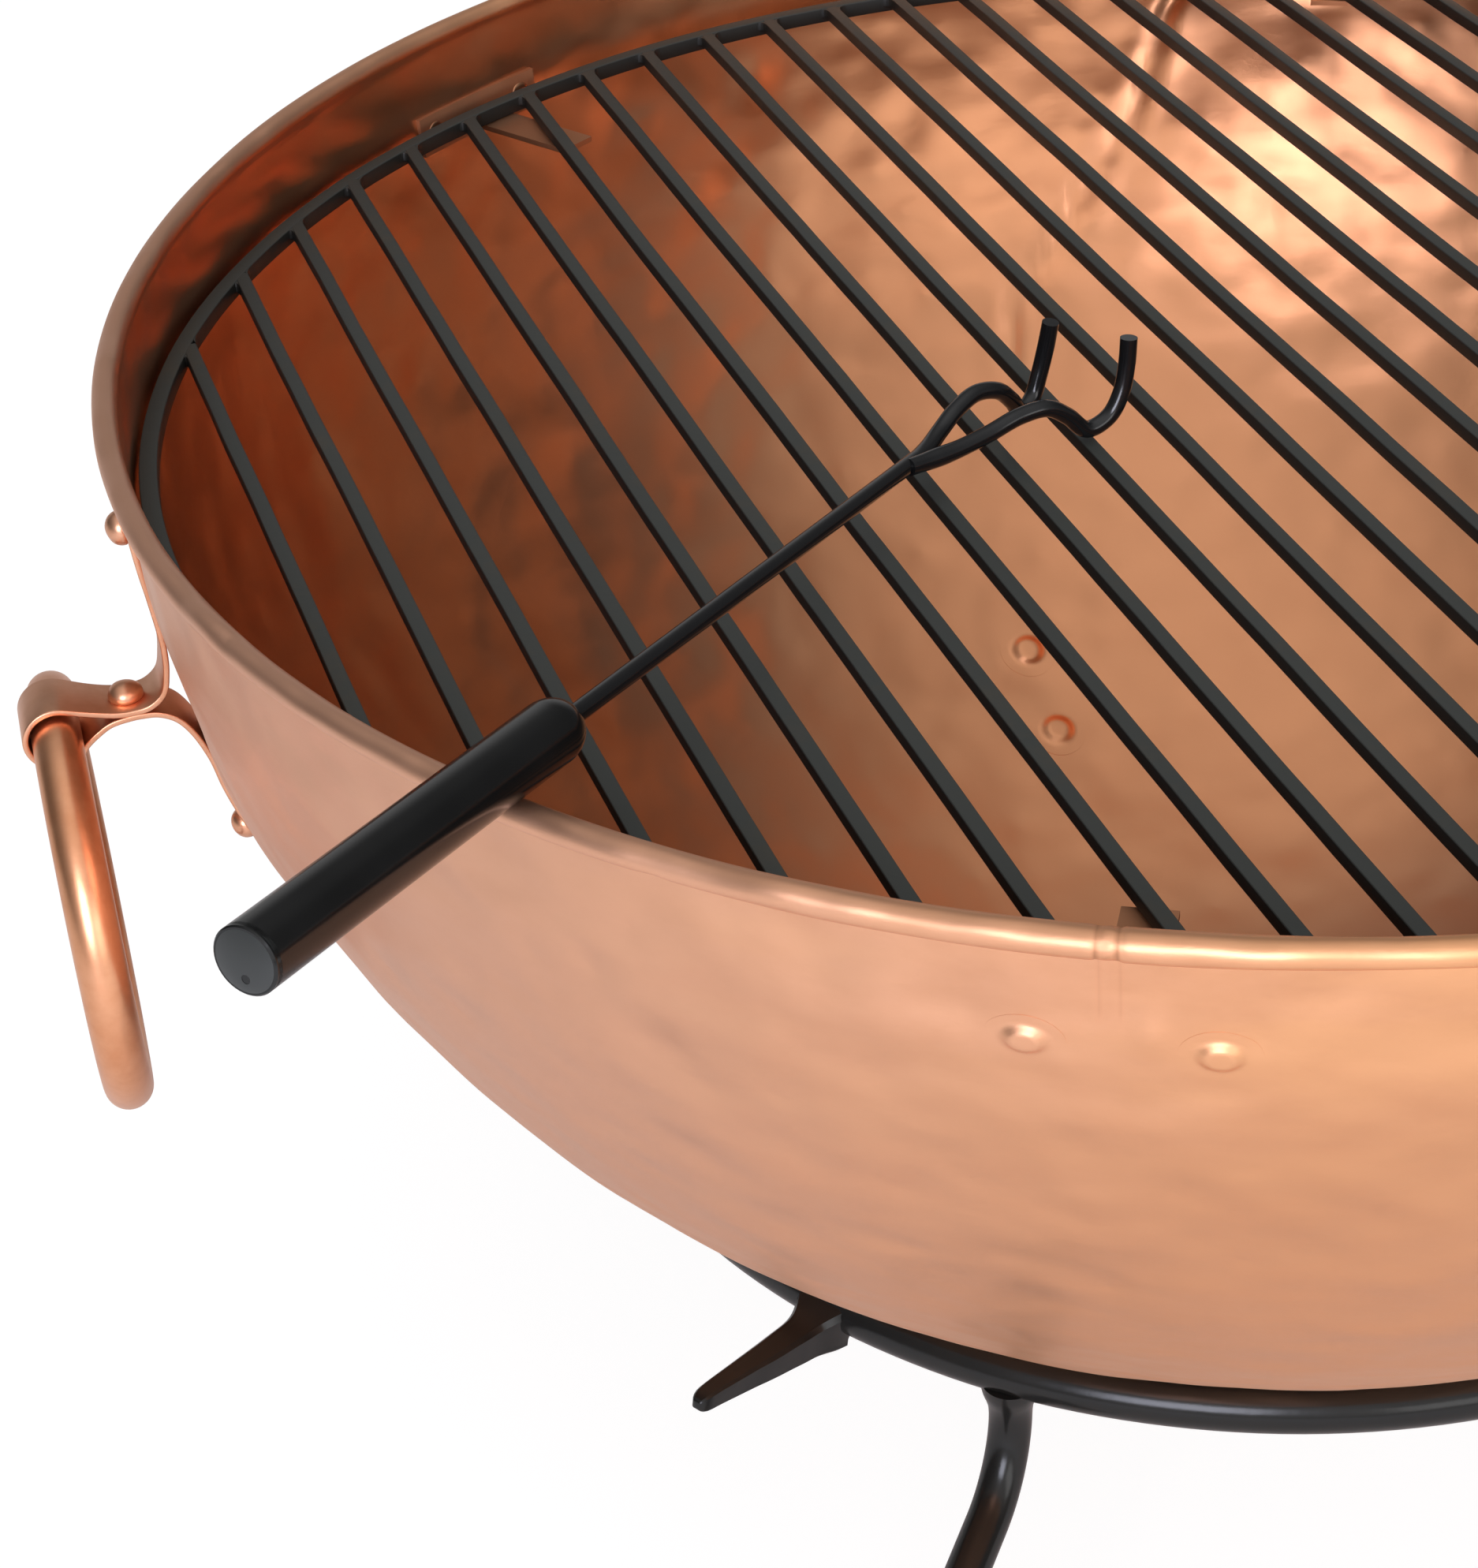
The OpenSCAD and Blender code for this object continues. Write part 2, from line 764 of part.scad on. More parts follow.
bowl_shell();
rim_wire();
for (i = [0:len(support_angles) - 1])
    grate_support(i);
support_rivets();
for (i = [0:len(stop_angles) - 1])
    bowl_stop(i);
stop_rivets();
handle_strap(handle_angles[0]);  // handle_strap_left
handle_strap(handle_angles[1]);  // handle_strap_right
strap_rivets();
clamp_rivets();
ring_handle(handle_angles[0]);  // ring_handle_left
ring_handle(handle_angles[1]);  // ring_handle_right
grate_ring();
for (i = [0:bar_count - 1])
    grate_bar_piece(i);
stand_ring();
for (i = [0:leg_count - 1])
    stand_leg(i);
for (i = [0:leg_count - 1])
    stand_horn(i);
for (i = [0:leg_count - 1])
    foot_pad(i);
fork_grip();
fork_end_cap();
fork_rod();
fork_prong_left();
fork_prong_right();
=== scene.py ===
import math
from functools import lru_cache

import bmesh
import bpy
import numpy as np
from bpy.props import FloatProperty, FloatVectorProperty, IntProperty, PointerProperty
from bpy.types import Operator, Panel, PropertyGroup
from mathutils import Matrix, Vector


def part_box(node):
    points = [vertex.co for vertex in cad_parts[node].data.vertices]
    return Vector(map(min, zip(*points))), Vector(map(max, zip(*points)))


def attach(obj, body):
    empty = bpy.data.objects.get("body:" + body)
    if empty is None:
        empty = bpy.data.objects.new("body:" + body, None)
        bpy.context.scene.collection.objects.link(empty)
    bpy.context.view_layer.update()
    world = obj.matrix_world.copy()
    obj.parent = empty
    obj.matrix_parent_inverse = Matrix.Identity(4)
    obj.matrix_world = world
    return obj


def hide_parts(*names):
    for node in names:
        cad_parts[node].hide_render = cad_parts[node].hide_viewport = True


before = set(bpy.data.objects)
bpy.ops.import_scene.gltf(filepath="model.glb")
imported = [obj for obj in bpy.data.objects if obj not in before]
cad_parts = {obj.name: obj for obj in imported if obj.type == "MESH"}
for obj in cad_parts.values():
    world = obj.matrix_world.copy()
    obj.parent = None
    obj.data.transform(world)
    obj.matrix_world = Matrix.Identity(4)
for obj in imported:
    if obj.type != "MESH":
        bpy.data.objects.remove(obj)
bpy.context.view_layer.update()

bl_info = {
    "name": "Copper Fire Pit",
    "version": (1, 0, 0),
    "blender": (4, 5, 0),
    "location": "View3D > Sidebar > Fire Pit",
    "description": "Planished copper bowl, bar grate, bent bar stand and fork",
    "category": "Object",
}

MM = 0.001
# Clearance between things that rest on each other
GAP = 0.0003
# Diameters of the handles' tube and of the bar in the stand's ring
TUBE = 0.016
RING_BAR = 0.016


@lru_cache(maxsize=None)
def box(node):
    """Lowest and highest corner of a node, measured once."""
    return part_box(node)


def reach(node):
    """Largest X of a node, which is the outer radius of a round one."""
    return box(node)[1].x


def half_width(node):
    low, high = box(node)
    return (high.x - low.x) / 2


def middle_of(node):
    low, high = box(node)
    return (low + high) / 2


def top(node):
    return box(node)[1].z


def bottom(node):
    return box(node)[0].z


# ---------------------------------------------------------------- sizes and colours


def size_setting(name, description, metres):
    return FloatProperty(name=name, description=description, default=metres, unit="LENGTH")


def angle_setting(name, description, degrees):
    return FloatProperty(
        name=name, description=description, default=math.radians(degrees), subtype="ANGLE")


def colour_setting(name, description, *colour):
    return FloatVectorProperty(
        name=name, description=description, default=colour, subtype="COLOR")


class BowlSizes(PropertyGroup):
    rim_radius: size_setting("Rim radius", "Outside of the rolled edge", reach("bowl_shell"))
    rim_height: size_setting("Rim height", "Top of the rolled edge", top("bowl_shell"))
    roll: size_setting("Rolled edge", "Diameter of the rolled edge", 0.008)
    overhang: size_setting("Overhang", "How far the rolled edge stands out past the wall", 0.0057)
    sheet: size_setting("Sheet", "Thickness of the copper sheet", 0.0015)
    planish: size_setting("Planishing", "Depth of the soft hammer waves in the sheet", 0.0007)
    copper: colour_setting("Copper", "Clean copper", 0.87, 0.44, 0.22)
    blush: colour_setting("Blush", "Pinker patches of the copper", 0.84, 0.43, 0.25)
    worn: colour_setting("Worn", "Browner patches of the copper", 0.75, 0.37, 0.19)
    # Painted shade: copper low on the bowl is painted darker, where it mirrors the shadowed floor
    # under the bowl
    lower: colour_setting("Lower", "Outside, low on the bowl", 0.70, 0.345, 0.18)
    # Painted shade: the outside on the left is painted pinker and duller, where it mirrors darker
    # floor
    outside_left_shade: colour_setting("Pink", "Outside, on the left of the bowl", 0.75, 0.43, 0.30)
    # Painted shade: all copper inside the bowl is painted darker and more saturated, standing in
    # for light bounced between the walls
    bounced_shade: colour_setting("Used", "Copper inside the bowl", 0.86, 0.38, 0.19)
    # Painted shade: the inside floor towards the front is painted darker
    floor_front_shade: colour_setting("Sooty", "Floor of the bowl towards the front", 0.40, 0.20, 0.12)
    # Painted shade: the upper left of the inside is painted dark brown, where that wall mirrors
    # darker surroundings
    upper_left_inside_shade: colour_setting("Tarnish", "Side that the fire has browned", 0.195, 0.13, 0.09)
    grime: colour_setting("Grime", "Dark lines at the joint in the rolled edge", 0.30, 0.12, 0.05)


class HandleSizes(PropertyGroup):
    tube: size_setting("Tube", "Diameter of the ring handle's tube", TUBE)
    ring: size_setting(
        "Ring", "Radius of the ring handle, to the middle of its tube",
        box("ring_handle_right")[1].y - TUBE / 2)
    strap_width: size_setting("Strap width", "Width of the copper strap", 0.0184)
    strap_thickness: size_setting("Strap thickness", "Thickness of the copper strap", 0.002)
    copper: colour_setting("Strap copper", "Straps and rivets", 0.83, 0.44, 0.28)
    tube_copper: colour_setting("Tube copper", "Ring handles", 0.86, 0.42, 0.235)


class GrateSizes(PropertyGroup):
    radius: size_setting("Grate radius", "Outside of the grate's ring", half_width("grate_ring"))
    middle: FloatVectorProperty(
        name="Middle", description="Middle of the grate, which lies slid to one side",
        default=middle_of("grate_ring"), subtype="XYZ", unit="LENGTH")
    height: size_setting("Grate height", "Top of the grate above the floor", top("grate_ring"))
    bar: size_setting("Ring bar", "Side of the square bar in the grate's ring", 0.006)
    slim: size_setting("Cross bar", "Side of the square bars across the grate", 0.0049)
    pitch: size_setting("Pitch", "Distance from one bar to the next", 0.02777)
    side_bars: IntProperty(
        name="Side bars", description="Number of bars on each side of the middle one",
        default=11)
    turn: angle_setting("Turn", "How far the grate lies turned in the bowl", 3.9)
    # Painted shade: the bars' sides get a darker colour than their tops
    steel: colour_setting("Grate steel", "Tops of the blackened bars", 0.026, 0.028, 0.025)
    side: colour_setting("Grate sides", "Sides of the blackened bars", 0.008, 0.0075, 0.006)


class StandSizes(PropertyGroup):
    ring: size_setting(
        "Ring", "Radius of the stand's ring, to the middle of its bar",
        reach("stand_ring") - RING_BAR / 2)
    ring_bar: size_setting("Ring bar", "Diameter of the bar in the ring", RING_BAR)
    leg_bar: size_setting("Leg bar", "Diameter of a leg's bar", 0.014)
    legs: IntProperty(name="Legs", description="Number of legs", default=3)
    first_leg: angle_setting("First leg", "Direction of the first leg from the X axis", 230)
    horn_turn: angle_setting("Horn turn", "How far round the ring a horn is from its leg", -15.5)
    horn_rise: angle_setting("Horn rise", "How steeply a horn rises from the ring", 12.5)
    steel: colour_setting("Stand steel", "Satin black of the stand", 0.008, 0.0076, 0.007)


class ForkSizes(PropertyGroup):
    grip: size_setting("Grip", "Diameter of the grip", 0.018)
    rod: size_setting("Rod", "Diameter of the rod", 0.0055)
    reach: size_setting("Reach", "Level distance from the rim to the prongs' joint", 0.2344)
    crossing: angle_setting("Crossing", "Where round the rim the fork lies", 217.7)
    turn: angle_setting("Turn", "Which way the fork points, from the X axis", 46.4)
    black: colour_setting("Fork black", "Gloss black of the fork", 0.006, 0.006, 0.0065)


class StageLook(PropertyGroup):
    lens: FloatProperty(
        name="Lens", description="Focal length on a 36 mm high picture", default=75.284)
    floor: colour_setting("Floor", "White of the floor", 0.85, 0.85, 0.85)


# ---------------------------------------------------------------- nodes and arithmetic


class Flow:
    """What comes out of a node. Arithmetic on it adds Math nodes."""

    def __init__(self, shop, socket):
        self.shop, self.socket = shop, socket

    def math(self, operation, first, second):
        return self.shop.add("ShaderNodeMath", {"operation": operation}, {0: first, 1: second})

    def __add__(self, other):
        return self.math("ADD", self, other)

    __radd__ = __add__

    def __mul__(self, other):
        return self.math("MULTIPLY", self, other)

    def __sub__(self, other):
        return self.math("SUBTRACT", self, other)

    def __rsub__(self, other):
        return self.math("SUBTRACT", other, self)

    def between(self, low, high):
        """0 at low, 1 at high, easing between."""
        return self.shop.add(
            "ShaderNodeMapRange", {"interpolation_type": "SMOOTHSTEP"},
            {"Value": self, "From Min": low, "From Max": high})


class Shop:
    """Adds nodes to one tree."""

    def __init__(self, tree):
        self.tree = tree
        tree.nodes.clear()

    def add(self, kind, settings=None, values=None, out=0):
        """A new node with its settings and inputs; gives one of its outputs."""
        node = self.tree.nodes.new(kind)
        for name, value in (settings or {}).items():
            setattr(node, name, value)
        for key, value in (values or {}).items():
            if isinstance(value, Flow):
                self.tree.links.new(value.socket, node.inputs[key])
            else:
                node.inputs[key].default_value = value
        return Flow(self, node.outputs[out]) if node.outputs else node

    def ramp(self, value, stops):
        """A value that follows the stops, each a place and a brightness."""
        follower = self.add("ShaderNodeValToRGB", None, {"Fac": value})
        elements = follower.socket.node.color_ramp.elements
        while len(elements) < len(stops):
            elements.new(0.5)
        for element, (place, bright) in zip(elements, stops):
            element.position, element.color = place, (bright, bright, bright, 1)
        return follower

    def part(self, vector, axis):
        """One of the three parts of a vector, by its number."""
        return self.add("ShaderNodeSeparateXYZ", None, {0: vector}, out=axis)

    def tint(self, share, first, second):
        """Colour that goes from first to second as share goes from 0 to 1."""
        colours = {
            key: value if isinstance(value, Flow) else (*value, 1)
            for key, value in ((6, first), (7, second))}
        return self.add(
            "ShaderNodeMix", {"data_type": "RGBA"}, {0: share, **colours}, out=2)


class Finish(Shop):
    """One material, from its nodes to its surface."""

    def __init__(self, name):
        self.material = bpy.data.materials.new(name)
        self.material.use_nodes = True
        super().__init__(self.material.node_tree)
        self.place = self.add("ShaderNodeTexCoord", out="Object")

    def flattened(self, squash):
        """The place on the object, with heights stretched so that patterns come out flatter."""
        return self.add(
            "ShaderNodeMapping", None, {"Vector": self.place, "Scale": (1.0, 1.0, squash)})

    def noise(self, scale, detail=2.0, roughness=0.5, squash=None):
        return self.add(
            "ShaderNodeTexNoise", None,
            {"Vector": self.flattened(squash) if squash else self.place, "Scale": scale,
             "Detail": detail, "Roughness": roughness})

    def cells(self, scale, squash):
        return self.add(
            "ShaderNodeTexVoronoi", {"feature": "SMOOTH_F1"},
            {"Vector": self.flattened(squash), "Scale": scale, "Smoothness": 1.0})

    def attribute(self, name):
        return self.add("ShaderNodeAttribute", {"attribute_name": name}, out="Fac")

    def bump(self, height, depth, strength=1.0, normal=None):
        values = {"Height": height, "Distance": depth, "Strength": strength}
        if normal:
            values["Normal"] = normal
        return self.add("ShaderNodeBump", None, values)

    def surface(self, **values):
        """Principled surface; keywords are its sockets with _ for spaces."""
        named = {key.replace("_", " "): value for key, value in values.items()}
        shader = self.add("ShaderNodeBsdfPrincipled", None, named)
        self.add("ShaderNodeOutputMaterial", None, {"Surface": shader})
        return self.material


class Recipe(Shop):
    """A Geometry Nodes tree with named inputs, which ends in plain geometry and a material."""

    def __init__(self, name, inputs):
        tree = bpy.data.node_groups.new(name, "GeometryNodeTree")
        super().__init__(tree)
        self.keys = {}
        shared = {
            "Geometry": "Geometry", "Waver": "Float", "Waver Scale": "Float",
            "Material": "Material"}
        for label, kind in {**shared, **inputs}.items():
            socket = tree.interface.new_socket(
                name=label, in_out="INPUT", socket_type="NodeSocket" + kind)
            self.keys[label] = socket.identifier
        tree.interface.new_socket(
            name="Geometry", in_out="OUTPUT", socket_type="NodeSocketGeometry")
        self.source = tree.nodes.new("NodeGroupInput")

    def given(self, label):
        return Flow(self, self.source.outputs[label])

    def named(self, name, kind="FLOAT"):
        return self.add("GeometryNodeInputNamedAttribute", {"data_type": kind}, {"Name": name})

    def wavering(self, geometry):
        """Moves a surface in and out by a little smooth noise, as hand work leaves it."""
        noise = self.add(
            "ShaderNodeTexNoise", None,
            {"Scale": self.given("Waver Scale"), "Detail": 2.0}, out="Color")
        centred = self.add(
            "ShaderNodeVectorMath", {"operation": "SUBTRACT"}, {0: noise, 1: (0.5, 0.5, 0.5)})
        shift = self.add(
            "ShaderNodeVectorMath", {"operation": "SCALE"},
            {0: centred, "Scale": self.given("Waver") * 2})
        return self.add(
            "GeometryNodeSetPosition", None, {"Geometry": geometry, "Offset": shift})

    def finish(self, geometry, smooth=True):
        """Wavers the surface, makes it plain geometry and gives it the material."""
        uneven = self.wavering(geometry)
        if smooth:
            uneven = self.add(
                "GeometryNodeSetShadeSmooth", None, {"Geometry": uneven, "Shade Smooth": True})
        plain = self.add("GeometryNodeRealizeInstances", None, {"Geometry": uneven})
        dressed = self.add(
            "GeometryNodeSetMaterial", None,
            {"Geometry": plain, "Material": self.given("Material")})
        self.add("NodeGroupOutput", None, {0: dressed})
        return self

    def make(self, name, base, **values):
        """Runs the recipe on a base mesh and returns the result as a plain object."""
        worker = link_object(name + "_base", base)
        modifier = worker.modifiers.new(name, "NODES")
        modifier.node_group = self.tree
        for label, value in values.items():
            modifier[self.keys[label.replace("_", " ")]] = value
        bpy.context.view_layer.update()
        graph = bpy.context.evaluated_depsgraph_get()
        mesh = bpy.data.meshes.new_from_object(worker.evaluated_get(graph))
        mesh.name = name
        bpy.data.objects.remove(worker)
        bpy.data.meshes.remove(base)
        for spent in ("bar_radius", "turn", "stretch"):
            if spent in mesh.attributes:
                mesh.attributes.remove(mesh.attributes[spent])
        return link_object(name, mesh)


def link_object(name, mesh):
    made = bpy.data.objects.new(name, mesh)
    bpy.context.scene.collection.objects.link(made)
    return made


def settle(piece, body, slot, *nodes):
    """Puts a finished piece on its body and hides the CAD nodes it stands for; the material slot
    is not used.
    """
    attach(piece, body)
    if nodes:
        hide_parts(*nodes)
    return piece


def coat(piece, material, smooth=True):
    piece.data.materials.clear()
    piece.data.materials.append(material)
    piece.data.polygons.foreach_set("use_smooth", [smooth] * len(piece.data.polygons))
    return piece


def soft_edges(piece, degrees):
    """Keeps only the corners sharper than the angle."""
    piece.data.set_sharp_from_angle(angle=math.radians(degrees))
    return piece


def shaped(name, mesh, material, degrees):
    """An object from a mesh, in its material and with soft edges."""
    return soft_edges(coat(link_object(name, mesh), material), degrees)


# ---------------------------------------------------------------- shared shapes


def mesh_from(points, faces, name="mesh"):
    mesh = bpy.data.meshes.new(name)
    mesh.from_pydata([tuple(p) for p in points], [], faces)
    mesh.update()
    return mesh


def path_mesh(paths, radii=None):
    """Edge chains for a sweep. A path is (points, closed), and radii run along with them."""
    points, edges, sizes = [], [], []
    for k, (path, closed) in enumerate(paths):
        first = len(points)
        points += [tuple(p) for p in path]
        edges += [(first + i, first + i + 1) for i in range(len(path) - 1)]
        if closed:
            edges.append((first + len(path) - 1, first))
        if radii:
            sizes += list(np.broadcast_to(radii[k], len(path)))
    mesh = bpy.data.meshes.new("path")
    mesh.from_pydata(points, edges, [])
    if radii:
        attribute = mesh.attributes.new("bar_radius", "FLOAT", "POINT")
        attribute.data.foreach_set("value", np.array(sizes, np.float32))
    return mesh


def place_mesh(points, turns, stretches):
    """Points for set-out copies, each with its own turn and stretch."""
    mesh = bpy.data.meshes.new("places")
    mesh.from_pydata([tuple(p) for p in points], [], [])
    for name, values in (("turn", turns), ("stretch", stretches)):
        attribute = mesh.attributes.new(name, "FLOAT_VECTOR", "POINT")
        attribute.data.foreach_set("vector", np.array(values, np.float32).ravel())
    return mesh


@lru_cache(maxsize=None)
def round_bar_recipe():
    """Sweeps a round section along each path, as thick as the path says at each point."""
    work = Recipe("round_bar", {"Sides": "Int"})
    curve = work.add("GeometryNodeMeshToCurve", None, {"Mesh": work.given("Geometry")})
    section = work.add(
        "GeometryNodeCurvePrimitiveCircle", None,
        {"Resolution": work.given("Sides"), "Radius": 1.0})
    return work.finish(work.add(
        "GeometryNodeCurveToMesh", None,
        {"Curve": curve, "Profile Curve": section, "Scale": work.named("bar_radius"),
         "Fill Caps": True}))


def square_bar_recipe():
    """Sweeps a square section with rounded corners along each path."""
    work = Recipe("square_bar", {"Side": "Float", "Corner": "Float", "Pieces": "Int"})
    curve = work.add("GeometryNodeMeshToCurve", None, {"Mesh": work.given("Geometry")})
    cut = work.add(
        "GeometryNodeResampleCurve", None, {"Curve": curve, "Count": work.given("Pieces")})
    upright = work.add("GeometryNodeSetCurveNormal", {"mode": "Z_UP"}, {"Curve": cut})
    square = work.add(
        "GeometryNodeCurvePrimitiveQuadrilateral", {"mode": "RECTANGLE"},
        {"Width": work.given("Side"), "Height": work.given("Side")})
    section = work.add(
        "GeometryNodeFilletCurve", {"mode": "POLY"},
        {"Curve": square, "Radius": work.given("Corner"), "Count": 3})
    return work.finish(work.add(
        "GeometryNodeCurveToMesh", None,
        {"Curve": upright, "Profile Curve": section, "Fill Caps": True}), smooth=False)


@lru_cache(maxsize=None)
def set_out_recipe():
    """Sets a copy of one pattern on each place, turned and stretched as the place says."""
    work = Recipe("set_out", {"Pattern": "Object"})
    pattern = work.add(
        "GeometryNodeObjectInfo", {"transform_space": "ORIGINAL"},
        {"Object": work.given("Pattern")}, out="Geometry")
    turn = work.add(
        "FunctionNodeEulerToRotation", None, {0: work.named("turn", "FLOAT_VECTOR")})
    copies = work.add(
        "GeometryNodeInstanceOnPoints", None,
        {"Points": work.given("Geometry"), "Instance": pattern, "Rotation": turn,
         "Scale": work.named("stretch", "FLOAT_VECTOR")})
    return work.finish(work.add("GeometryNodeRealizeInstances", None, {"Geometry": copies}))


def round_bar(name, path, radius, sides, uneven, material, closed=False):
    """A round bar along a path; uneven is how far it wavers and how closely."""
    waver, waver_scale = uneven
    return round_bar_recipe().make(
        name, path_mesh([(path, closed)], [radius]), Sides=sides, Waver=waver,
        Waver_Scale=waver_scale, Material=finish(material))


def ring_faces(rows, sides, first=0):
    """Faces between rows of points, where each row runs once round."""
    step = np.arange(sides)
    ahead = (step + 1) % sides
    faces = []
    for row in range(rows - 1):
        a = first + row * sides
        b = a + sides
        faces += np.column_stack([a + step, a + ahead, b + ahead, b + step]).tolist()
    return faces


def end_faces(rows, sides):
    """Flat faces that close the first and the last row."""
    last = (rows - 1) * sides
    return [list(range(sides)), list(range(last, last + sides))]


def pole_faces(rows, sides):
    """Faces that draw the first and the last row in to the two points after them."""
    low = rows * sides
    last = low - sides
    faces = []
    for k in range(sides):
        n = (k + 1) % sides
        faces += [(low, n, k), (low + 1, last + k, last + n)]
    return faces


def turned_mesh(outline, sides, name="turned"):
    """Spins an outline of (radius, height) points round Z; it starts and ends on the axis."""
    rows = outline[1:-1]
    turns = [math.tau * k / sides for k in range(sides)]
    points = [(r * math.cos(a), r * math.sin(a), z) for r, z in rows for a in turns]
    points += [(0, 0, outline[0][1]), (0, 0, outline[-1][1])]
    faces = ring_faces(len(rows), sides) + pole_faces(len(rows), sides)
    return face_out(mesh_from(points, faces, name))


def face_out(mesh):
    work = bmesh.new()
    work.from_mesh(mesh)
    bmesh.ops.remove_doubles(work, verts=work.verts, dist=1e-7)
    bmesh.ops.recalc_face_normals(work, faces=work.faces)
    work.to_mesh(mesh)
    work.free()
    return mesh


def joined(shapes, name):
    """One mesh out of several lists of points and faces."""
    points, faces = [], []
    for some_points, some_faces in shapes:
        faces += [tuple(len(points) + i for i in face) for face in some_faces]
        points += some_points
    return face_out(mesh_from(points, faces, name))


def curve_through(points, step):
    """Smooth line through the points, cut into even steps."""
    p = np.array(points, float)
    ends = np.vstack([2 * p[0] - p[1], p, 2 * p[-1] - p[-2]])
    spans = np.sqrt(np.linalg.norm(np.diff(ends, axis=0), axis=1))
    line = []
    for i in range(len(p) - 1):
        near = list(ends[i:i + 4])
        knots = np.concatenate([[0], np.cumsum(spans[i:i + 3])])
        for t in np.linspace(knots[1], knots[2], 24, endpoint=False):
            mix = near
            for level, skips in ((1, (0, 1, 2)), (2, (0, 1)), (1, (1,))):
                mix = [
                    ((knots[k + level] - t) * mix[n] + (t - knots[k]) * mix[n + 1])
                    / (knots[k + level] - knots[k])
                    for n, k in enumerate(skips)]
            line.append(mix[0])
    line = np.array([*line, p[-1]])
    run = run_along(line)
    even = np.linspace(0, run[-1], max(2, int(run[-1] / step) + 1))
    return np.column_stack([np.interp(even, run, line[:, k]) for k in range(p.shape[1])])


def run_along(line):
    """How far along the line each of its points lies."""
    return np.concatenate([[0], np.cumsum(np.linalg.norm(np.diff(line, axis=0), axis=1))])


def around(angle, r, z=0.0):
    return Vector((r * math.cos(angle), r * math.sin(angle), z))


def ease(x, low, high):
    t = np.clip((x - low) / (high - low), 0, 1)
    return t * t * (3 - 2 * t)


def hump(x, middle, width, power=2):
    """1 at the middle, falling towards 0 over about the width on both sides."""
    return np.exp(-((x - middle) / width) ** power)


def circle(radius, steps, z=0.0):
    return [around(a, radius, z) for a in np.linspace(0, math.tau, steps, endpoint=False)]


def lattice(cells, seed):
    """Repeatable values from -1 to 1 for whole-number cells."""
    mixed = (cells[..., 0] * 73856093) ^ (cells[..., 1] * 19349663) ^ (cells[..., 2] * 83492791)
    mixed = (mixed ^ (seed * 2654435761)) & 0xFFFFFFFF
    mixed = ((mixed ^ (mixed >> 15)) * 2246822519) & 0xFFFFFFFF
    mixed = ((mixed ^ (mixed >> 13)) * 3266489917) & 0xFFFFFFFF
    return (mixed ^ (mixed >> 16)) / 2147483648.0 - 1.0


def waves(p, size, seed):
    """Smooth uneven waves about one size long, from -1 to 1."""
    q = p / size + 100.0
    base = np.floor(q).astype(np.int64)
    t = q - base
    t = t * t * t * (t * (t * 6 - 15) + 10)
    total = 0.0
    for corner in np.ndindex(2, 2, 2):
        weight = 1.0
        for axis in range(3):
            weight = weight * (t[:, axis] if corner[axis] else 1 - t[:, axis])
        total = total + weight * lattice(base + np.array(corner), seed)
    return total


# ---------------------------------------------------------------- the bowl's wall


def wall():
    """Radius, top and depth of the wall's outside, which is half an ellipse."""
    sizes = bpy.context.scene.firepit_bowl
    return (sizes.rim_radius - sizes.overhang, sizes.rim_height - sizes.roll,
            sizes.rim_height - sizes.roll - bottom("bowl_shell"))


def wall_at(drop, out=0.0):
    """Radius and height on the wall at a drop below the rim, moved out along its normal."""
    radius, start, depth = wall()
    z = bpy.context.scene.firepit_bowl.rim_height - drop
    share = max(0.0, (start - z) / depth)
    r = radius * math.sqrt(max(0.0, 1 - share * share))
    normal = wall_normal(r, z)
    return r + out * normal[0], z + out * normal[1]


def wall_normal(r, z):
    radius, start, depth = wall()
    if z >= start:
        return 1.0, 0.0
    n = np.array([r / radius ** 2, (z - start) / depth ** 2])
    n /= np.linalg.norm(n)
    return float(n[0]), float(n[1])


# Marks on the sheet: (azimuth in degrees, drop in mm, width in mm, height in mm, lift in mm).
# A lift above 0 pushes the sheet out, one below 0 pushes it in.
DENTS = (
    (236.6, 33, 9, 9, -0.35), (240.2, 45, 5, 6, 0.25), (243.6, 33, 6, 12, 0.5),
    (247.6, 32, 5, 8, -0.4), (246.1, 50, 14, 6, -0.3), (238.8, 51, 12, 6, -0.25),
    (232.5, 60, 30, 18, -0.5), (251.5, 34, 18, 8, 0.35), (255.0, 62, 26, 14, -0.45),
    (243.0, 66, 34, 10, 0.4), (228.0, 38, 22, 12, 0.3), (262.0, 44, 20, 9, -0.3),
    (102.6, 64, 8, 14, -0.9), (110.8, 69, 10, 9, -0.8), (61.7, 89, 10, 8, -0.9),
    (127.4, 55, 5, 7, -0.8), (92.5, 96, 12, 14, -0.6), (70.0, 120, 20, 9, 0.7),
    (64.0, 62, 16, 9, -0.6), (57.5, 72, 10, 16, 0.7), (52.0, 58, 14, 10, -0.6),
    (118.0, 96, 16, 7, 0.4), (148.0, 120, 30, 16, 0.5), (200.0, 90, 34, 20, -0.5),
    (20.0, 70, 18, 12, 0.5), (300.0, 80, 26, 14, -0.5), (330.0, 120, 34, 22, 0.5),
)
# The crinkled ridge where the sheet was gathered: azimuth in degrees and drop in mm
RIDGE = ((73.2, 48), (74.1, 65), (76.3, 100), (81.1, 142), (86.0, 173), (88.0, 196))
# Directions round the bowl, in degrees from the X axis
SEAM_AZIMUTH = 242.1
NICK_AZIMUTH = 224.6
SUPPORT_AZIMUTHS = (63, 124, 242.5, 303)
STOP_AZIMUTHS = (92.5, 212.5, 332.5)
HANDLE_AZIMUTHS = {"left": 180, "right": 0}
# A support's two rivets: drop below the rim, distance apart and radius of the wall there
SUPPORT_DROP = 0.0385
SUPPORT_RIVET_PITCH = 0.0475
SUPPORT_WALL_RADIUS = 0.3753
